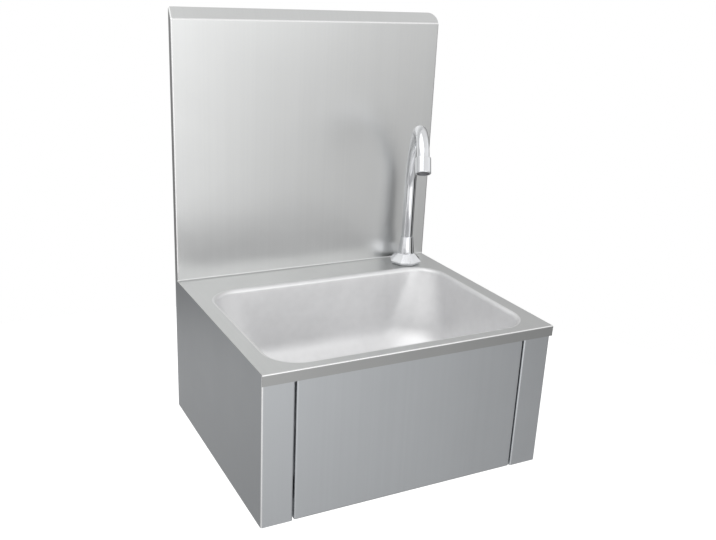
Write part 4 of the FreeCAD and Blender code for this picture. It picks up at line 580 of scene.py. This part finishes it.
def bowl_profile():
    """Steps of (inset, corner radius, height) from the rim's outer edge to the floor."""
    steps = [(0.0, RIM_CORNER, RIM_Z), (RIM_LAND, RIM_CORNER - RIM_LAND, RIM_Z)]
    slope = math.atan(WALL_RUN)
    for k in range(1, ROLL_STEPS + 1):
        angle = (math.pi / 2 - slope) * k / ROLL_STEPS
        inset = RIM_LAND + RIM_ROLL * math.sin(angle)
        height = RIM_Z - RIM_ROLL + RIM_ROLL * math.cos(angle)
        steps.append((inset, RIM_CORNER - inset, height))
    top_inset, top_corner, top_z = steps[-1]
    fillet_z = BOWL_FLOOR_Z + FLOOR_FILLET
    fillet_inset = top_inset + (top_z - fillet_z) * WALL_RUN + FLOOR_FILLET / math.cos(slope)
    low_inset = fillet_inset - FLOOR_FILLET * math.cos(slope)
    low_z = fillet_z - FLOOR_FILLET * math.sin(slope)
    for k in range(1, WALL_STEPS + 1):
        share = k / WALL_STEPS
        eased = share * share * (3 - 2 * share)
        inset = top_inset + (low_inset - top_inset) * share
        corner = top_corner + (DEEP_CORNER - top_corner) * (0.6 * share + 0.4 * eased)
        steps.append((inset, corner, top_z + (low_z - top_z) * share))
    for k in range(1, FILLET_STEPS + 1):
        angle = slope + (math.pi / 2 - slope) * k / FILLET_STEPS
        inset = fillet_inset - FLOOR_FILLET * math.cos(angle)
        corner = min(DEEP_CORNER, BOWL_HALF[1] - inset - CORNER_GAP)
        steps.append((inset, corner, fillet_z - FLOOR_FILLET * math.sin(angle)))
    return steps


def recess_profile():
    """Steps of (radius, height) from the recess's upper edge to the waste hole."""
    steps = []
    for k in range(1, EDGE_STEPS + 1):
        angle = math.pi / 2 * k / EDGE_STEPS
        radius = RECESS_RADIUS + RECESS_EDGE - RECESS_EDGE * math.sin(angle)
        steps.append((radius, BOWL_FLOOR_Z - RECESS_EDGE + RECESS_EDGE * math.cos(angle)))
    for k in range(TOE_STEPS + 1):
        angle = math.pi / 2 * k / TOE_STEPS
        radius = RECESS_RADIUS - RECESS_TOE * (1 - math.cos(angle))
        steps.append((radius, RECESS_Z + RECESS_TOE * (1 - math.sin(angle))))
    return steps + [(radius, RECESS_Z) for radius in RECESS_FLAT]


def pressed(point):
    """Slight unevenness that pressing leaves, none at the rim."""
    share = min(1.0, (RIM_Z - point.z) / PRESS_REACH)
    lift = PRESS_DEPTH * share * noise.noise(point * PRESS_WAVES)
    return point + Vector((0.0, 0.0, lift))


def make_bowl():
    rings = [[pressed(point) for point in rounded_ring(*step)] for step in bowl_profile()]
    middle = Vector((*BOWL_CENTRE, 0.0))
    edge = rings[-1]
    ways = [Vector((p.x - middle.x, p.y - middle.y, 0.0)).normalized() for p in edge]

    def circle(radius, height):
        return [Vector((middle.x + w.x * radius, middle.y + w.y * radius, height)) for w in ways]

    target = circle(RECESS_RADIUS + RECESS_EDGE, BOWL_FLOOR_Z)
    for k in range(1, FLOOR_STEPS + 1):
        rings.append([p.lerp(t, k / FLOOR_STEPS) for p, t in zip(edge, target)])
    rings += [circle(*step) for step in recess_profile()]
    shape = bmesh.new()
    skin(shape, [[shape.verts.new(point) for point in ring] for ring in rings])
    piece = put("bowl_pressing", shape, "bowl", "cabinet", "bowl")
    for face in piece.data.polygons:
        face.use_smooth = True
    up = sum(face.normal.z * face.area for face in piece.data.polygons) > 0
    shell = piece.modifiers.new("gauge", "SOLIDIFY")
    shell.thickness = GAUGE
    shell.offset = -1.0 if up else 1.0
    shell.use_even_offset = True


# ---------------------------------------------------------------- screw threads
X, Y, Z = 0, 1, 2
# Pitch and depth.
HALF_INCH = (0.001814, 0.0009)
INCH_AND_A_HALF = (0.002309, 0.0012)
VALVE_NECK = (0.0015, 0.0008)
SCREW_M8 = (0.00125, 0.00065)

TAP_CENTRE = (0.1505, -0.041)
VALVE_CENTRE = (0.090, 0.044)
INLET_Y = -0.045
INLET_RADIUS = 0.01048
INLET_ENDS = ((0.0030, 0.0125), (0.0135, 0.0210))

FLANK_START = 0.12        # share of half a pitch that the crest keeps flat, and the root too
RUN_OUT = 0.9             # pitches over which a thread fades out at each end
STEPS_A_PITCH = 7
WALL_SLACK = 0.00006
SAME_POINT = 2e-6
SHARP_DEGREES = 32


def inlet_threads(x):
    """The two threads of a check valve, below and above its groove."""
    centre = (x, INLET_Y)
    return [(Z, centre, INLET_RADIUS, start, end, *HALF_INCH) for start, end in INLET_ENDS]


# Axis, centre across it, outer radius, start and end along it, pitch and depth.
THREADS = {
    "tap_shank": [(Z, TAP_CENTRE, 0.0104, 0.1520, 0.2126, *HALF_INCH)],
    "waste_body": [(Z, BOWL_CENTRE, 0.0239, 0.0030, 0.0350, *INCH_AND_A_HALF)],
    "check_valve_hot": inlet_threads(0.065),
    "check_valve_cold": inlet_threads(0.115),
    "knee_valve_body": [(Y, VALVE_CENTRE, 0.0130, -0.2750, -0.2550, *VALVE_NECK)],
    "adjusting_screw": [(Y, VALVE_CENTRE, 0.0040, -0.3222, -0.3060, *SCREW_M8)],
}


def thread_depth(phase):
    """Depth share of a rounded thread over one pitch: 0 on the crest, 1 at the root."""
    saw = abs(2 * (phase % 1.0) - 1)
    flank = (saw - FLANK_START) / (1 - 2 * FLANK_START)
    return 0.5 - 0.5 * math.cos(math.pi * min(1.0, max(0.0, flank)))


def cut_thread(shape, axis, centre, radius, start, end, pitch, depth):
    """Swaps the plain round wall of a mesh, between two stations along its axis, for a thread."""
    other = [k for k in (X, Y, Z) if k != axis]

    def across(vert):
        return vert.co[other[0]] - centre[0], vert.co[other[1]] - centre[1]

    def turned(vert):
        return math.atan2(across(vert)[1], across(vert)[0])

    def on_wall(face):
        low = min(vert.co[axis] for vert in face.verts)
        high = max(vert.co[axis] for vert in face.verts)
        within = start - WALL_SLACK < low and high < end + WALL_SLACK
        return high - low > WALL_SLACK and within and all(
            abs(math.hypot(*across(vert)) - radius) < WALL_SLACK for vert in face.verts)

    def at(station):
        return sorted((v for v in edge if abs(v.co[axis] - station) < WALL_SLACK), key=turned)

    wall = [face for face in shape.faces if on_wall(face)]
    edge = {vert for face in wall for vert in face.verts}
    low, high = at(start), at(end)
    if len(low) != len(high) or len(low) + len(high) != len(edge) or not low:
        print("No plain wall to cut a thread in: it stays a cylinder.")
        return
    angles = [turned(vert) for vert in low]
    bmesh.ops.delete(shape, geom=wall, context="FACES_ONLY")
    rows = [low]
    count = round((end - start) / (pitch / STEPS_A_PITCH))
    fade = RUN_OUT * pitch
    for k in range(1, count):
        along = start + (end - start) * k / count
        ease = min(1.0, (along - start) / fade, (end - along) / fade)
        row = []
        for angle in angles:
            phase = along / pitch - angle / (2 * math.pi)
            cut = radius - depth * ease * thread_depth(phase)
            point = [0.0, 0.0, 0.0]
            point[axis] = along
            point[other[0]] = centre[0] + cut * math.cos(angle)
            point[other[1]] = centre[1] + cut * math.sin(angle)
            row.append(shape.verts.new(point))
        rows.append(row)
    skin(shape, rows + [high])
    loose = [e for e in shape.edges if not e.link_faces]
    bmesh.ops.delete(shape, geom=loose, context="EDGES")


def make_threads():
    for name, cuts in THREADS.items():
        shape = bmesh.new()
        shape.from_mesh(nodes[name].data)
        bmesh.ops.remove_doubles(shape, verts=shape.verts, dist=SAME_POINT)
        for cut in cuts:
            cut_thread(shape, *cut)
        slot = slot_of[name]
        body = nodes[name]["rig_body"]
        piece = put(name + "_threaded", shape, SLOT_LOOKS[slot], body, name)
        smooth_by_angle(piece.data, SHARP_DEGREES)


def make_spring():
    """A copy of the valve spring's coil, hung on the cabinet in place of its node; its rear end is
    the fixed one.
    """
    piece = bpy.data.objects.new("valve_spring_coil", nodes["valve_spring"].data.copy())
    scene.collection.objects.link(piece)
    finish_piece(piece, "cabinet", "valve_spring")
    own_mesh(piece)


# ---------------------------------------------------------------- floor and world
FLOOR_Z = -1.1
FLOOR_RADIUS = 3.2
FLOOR_SIDES = 96
FLOOR_GREYS = ((0.3, 0.33), (0.7, 0.36))
# What the floor adds for camera rays, and for mirror rays: from here to its rim, and then
# dimmer to the right and to the back, each as the ends of a span and its values there.
FLOOR_SHOWN = 0.92
FLOOR_GLOW = (0.8, FLOOR_RADIUS, 0.05, 0.66)
FLOOR_GLOW_X = (0.2, 1.9, 1.0, 0.15)
FLOOR_GLOW_Y = (-0.3, 0.9, 1.0, 0.34)

# What diffuse rays meet of the world.
AMBIENT = 0.76
# What mirror rays meet of it by height, from straight down at 0 to straight up at 1.
SKY_BY_HEIGHT = (
    (0.0, 0.30),
    (0.22, 0.50),
    (0.33, 0.92),
    (0.46, 1.0),
    (0.60, 1.0),
    (0.80, 0.90),
    (1.0, 0.84),
)
# Mirror rays meet less to the right, where they are low, and less to the back, most where low.
SKY_LOW = (-0.10, 0.30, 1.0, 0.0)
SKY_RIGHT = (0.0, 0.75, 1.0, 0.60)
SKY_BACK = (0.0, 0.6, 0.0, 1.0)
SKY_BACK_LOSS = (-0.2, 0.9, 0.74, 0.0)
# Dark boards, which only mirror rays meet: direction, outer and inner cosine, and brightness.
DARK_BOARDS = (
    ((0.84, -0.44, -0.32), 0.925, 0.975, 0.06),
    ((-0.92, 0.19, -0.34), 0.930, 0.980, 0.12),
    ((0.89, 0.30, -0.34), 0.940, 0.985, 0.10),
)


def ray_kinds(graph):
    """Light Path switches: 1 for camera rays, and 1 for mirror rays, glossy or transmitted."""
    path = graph.add("ShaderNodeLightPath").outputs
    mirror = graph.maths("MAXIMUM", path["Is Glossy Ray"], path["Is Transmission Ray"])
    return path["Is Camera Ray"], mirror


def make_floor():
    mesh = bpy.data.meshes.new("floor")
    shape = bmesh.new()
    bmesh.ops.create_circle(shape, cap_ends=True, segments=FLOOR_SIDES, radius=FLOOR_RADIUS)
    shape.to_mesh(mesh)
    shape.free()
    floor = bpy.data.objects.new("floor", mesh)
    floor.location = (0.0, 0.0, FLOOR_Z)
    scene.collection.objects.link(floor)
    material = bpy.data.materials.new("floor")
    material.use_nodes = True
    graph = Graph(material.node_tree)
    place = graph.add("ShaderNodeTexCoord").outputs["Object"]
    shade = graph.ramp(graph.noise(place, *SPECKLES), *FLOOR_GREYS)
    matt = graph.add("ShaderNodeBsdfDiffuse", {"Color": shade})
    seen, mirror = ray_kinds(graph)
    far = graph.span(graph.vector_maths("LENGTH", place)["Value"], *FLOOR_GLOW)
    where = graph.split(place)
    far = graph.times(far, graph.span(where["X"], *FLOOR_GLOW_X))
    far = graph.times(far, graph.span(where["Y"], *FLOOR_GLOW_Y))
    strength = graph.weighted((seen, FLOOR_SHOWN), (mirror, far))
    glow = graph.add("ShaderNodeEmission", {"Color": WHITE, "Strength": strength})
    both = graph.add("ShaderNodeAddShader", {0: matt.outputs[0], 1: glow.outputs[0]})
    graph.add("ShaderNodeOutputMaterial", {"Surface": both.outputs[0]})
    mesh.materials.append(material)


def make_world():
    world = bpy.data.worlds.new("studio")
    scene.world = world
    world.use_nodes = True
    graph = Graph(world.node_tree)
    way = graph.add("ShaderNodeTexCoord").outputs["Generated"]
    part = graph.split(way)
    rise = graph.span(part["Z"], -1.0, 1.0, 0.0, 1.0, smooth=False)
    lit = graph.ramp(rise, *SKY_BY_HEIGHT)
    low = graph.span(part["Z"], *SKY_LOW)
    right = graph.times(graph.span(part["X"], *SKY_RIGHT), low)
    lit = graph.times(lit, graph.maths("ADD", right, graph.maths("SUBTRACT", 1.0, low)))
    loss = graph.times(graph.span(part["Y"], *SKY_BACK), graph.span(part["Z"], *SKY_BACK_LOSS))
    lit = graph.times(lit, graph.maths("SUBTRACT", 1.0, loss))
    for board, outer, inner, level in DARK_BOARDS:
        near = graph.vector_maths("DOT_PRODUCT", way, board)["Value"]
        lit = graph.times(lit, graph.span(near, outer, inner, 1.0, level))
    seen, mirror = ray_kinds(graph)
    other = graph.maths("SUBTRACT", 1.0, graph.maths("MAXIMUM", seen, mirror))
    strength = graph.maths("ADD", seen, graph.weighted((mirror, lit), (other, AMBIENT)))
    sky = graph.add("ShaderNodeBackground", {"Color": WHITE, "Strength": strength})
    graph.add("ShaderNodeOutputWorld", {"Surface": sky.outputs[0]})


# ---------------------------------------------------------------- lamps
# Name, place, the point it faces, width, height and power in watts.
LAMPS = (
    ("front", (-0.25, -2.2, 0.05), (-0.1, 0.0, 0.20), 1.6, 0.9, 3.2),
    ("front_high", (0.55, -2.2, 1.0), (0.2, 0.0, 0.3), 1.5, 1.0, 4.0),
    ("top", (-0.85, -0.2, 2.1), (0.0, -0.25, 0.2), 2.8, 2.0, 12.5),
)


def make_lamp(name, place, aim, width, height, watts):
    data = bpy.data.lights.new(name, "AREA")
    data.shape = "RECTANGLE"
    data.size = width
    data.size_y = height
    data.energy = watts
    lamp = bpy.data.objects.new(name, data)
    scene.collection.objects.link(lamp)
    lamp.location = place
    lamp.rotation_mode = "QUATERNION"
    lamp.rotation_quaternion = (Vector(aim) - Vector(place)).to_track_quat("-Z", "Y")


make_camera()
dress_nodes()
make_bowl()
make_threads()
make_spring()
make_floor()
make_world()
for lamp_facts in LAMPS:
    make_lamp(*lamp_facts)
scene.view_settings.view_transform = "Standard"
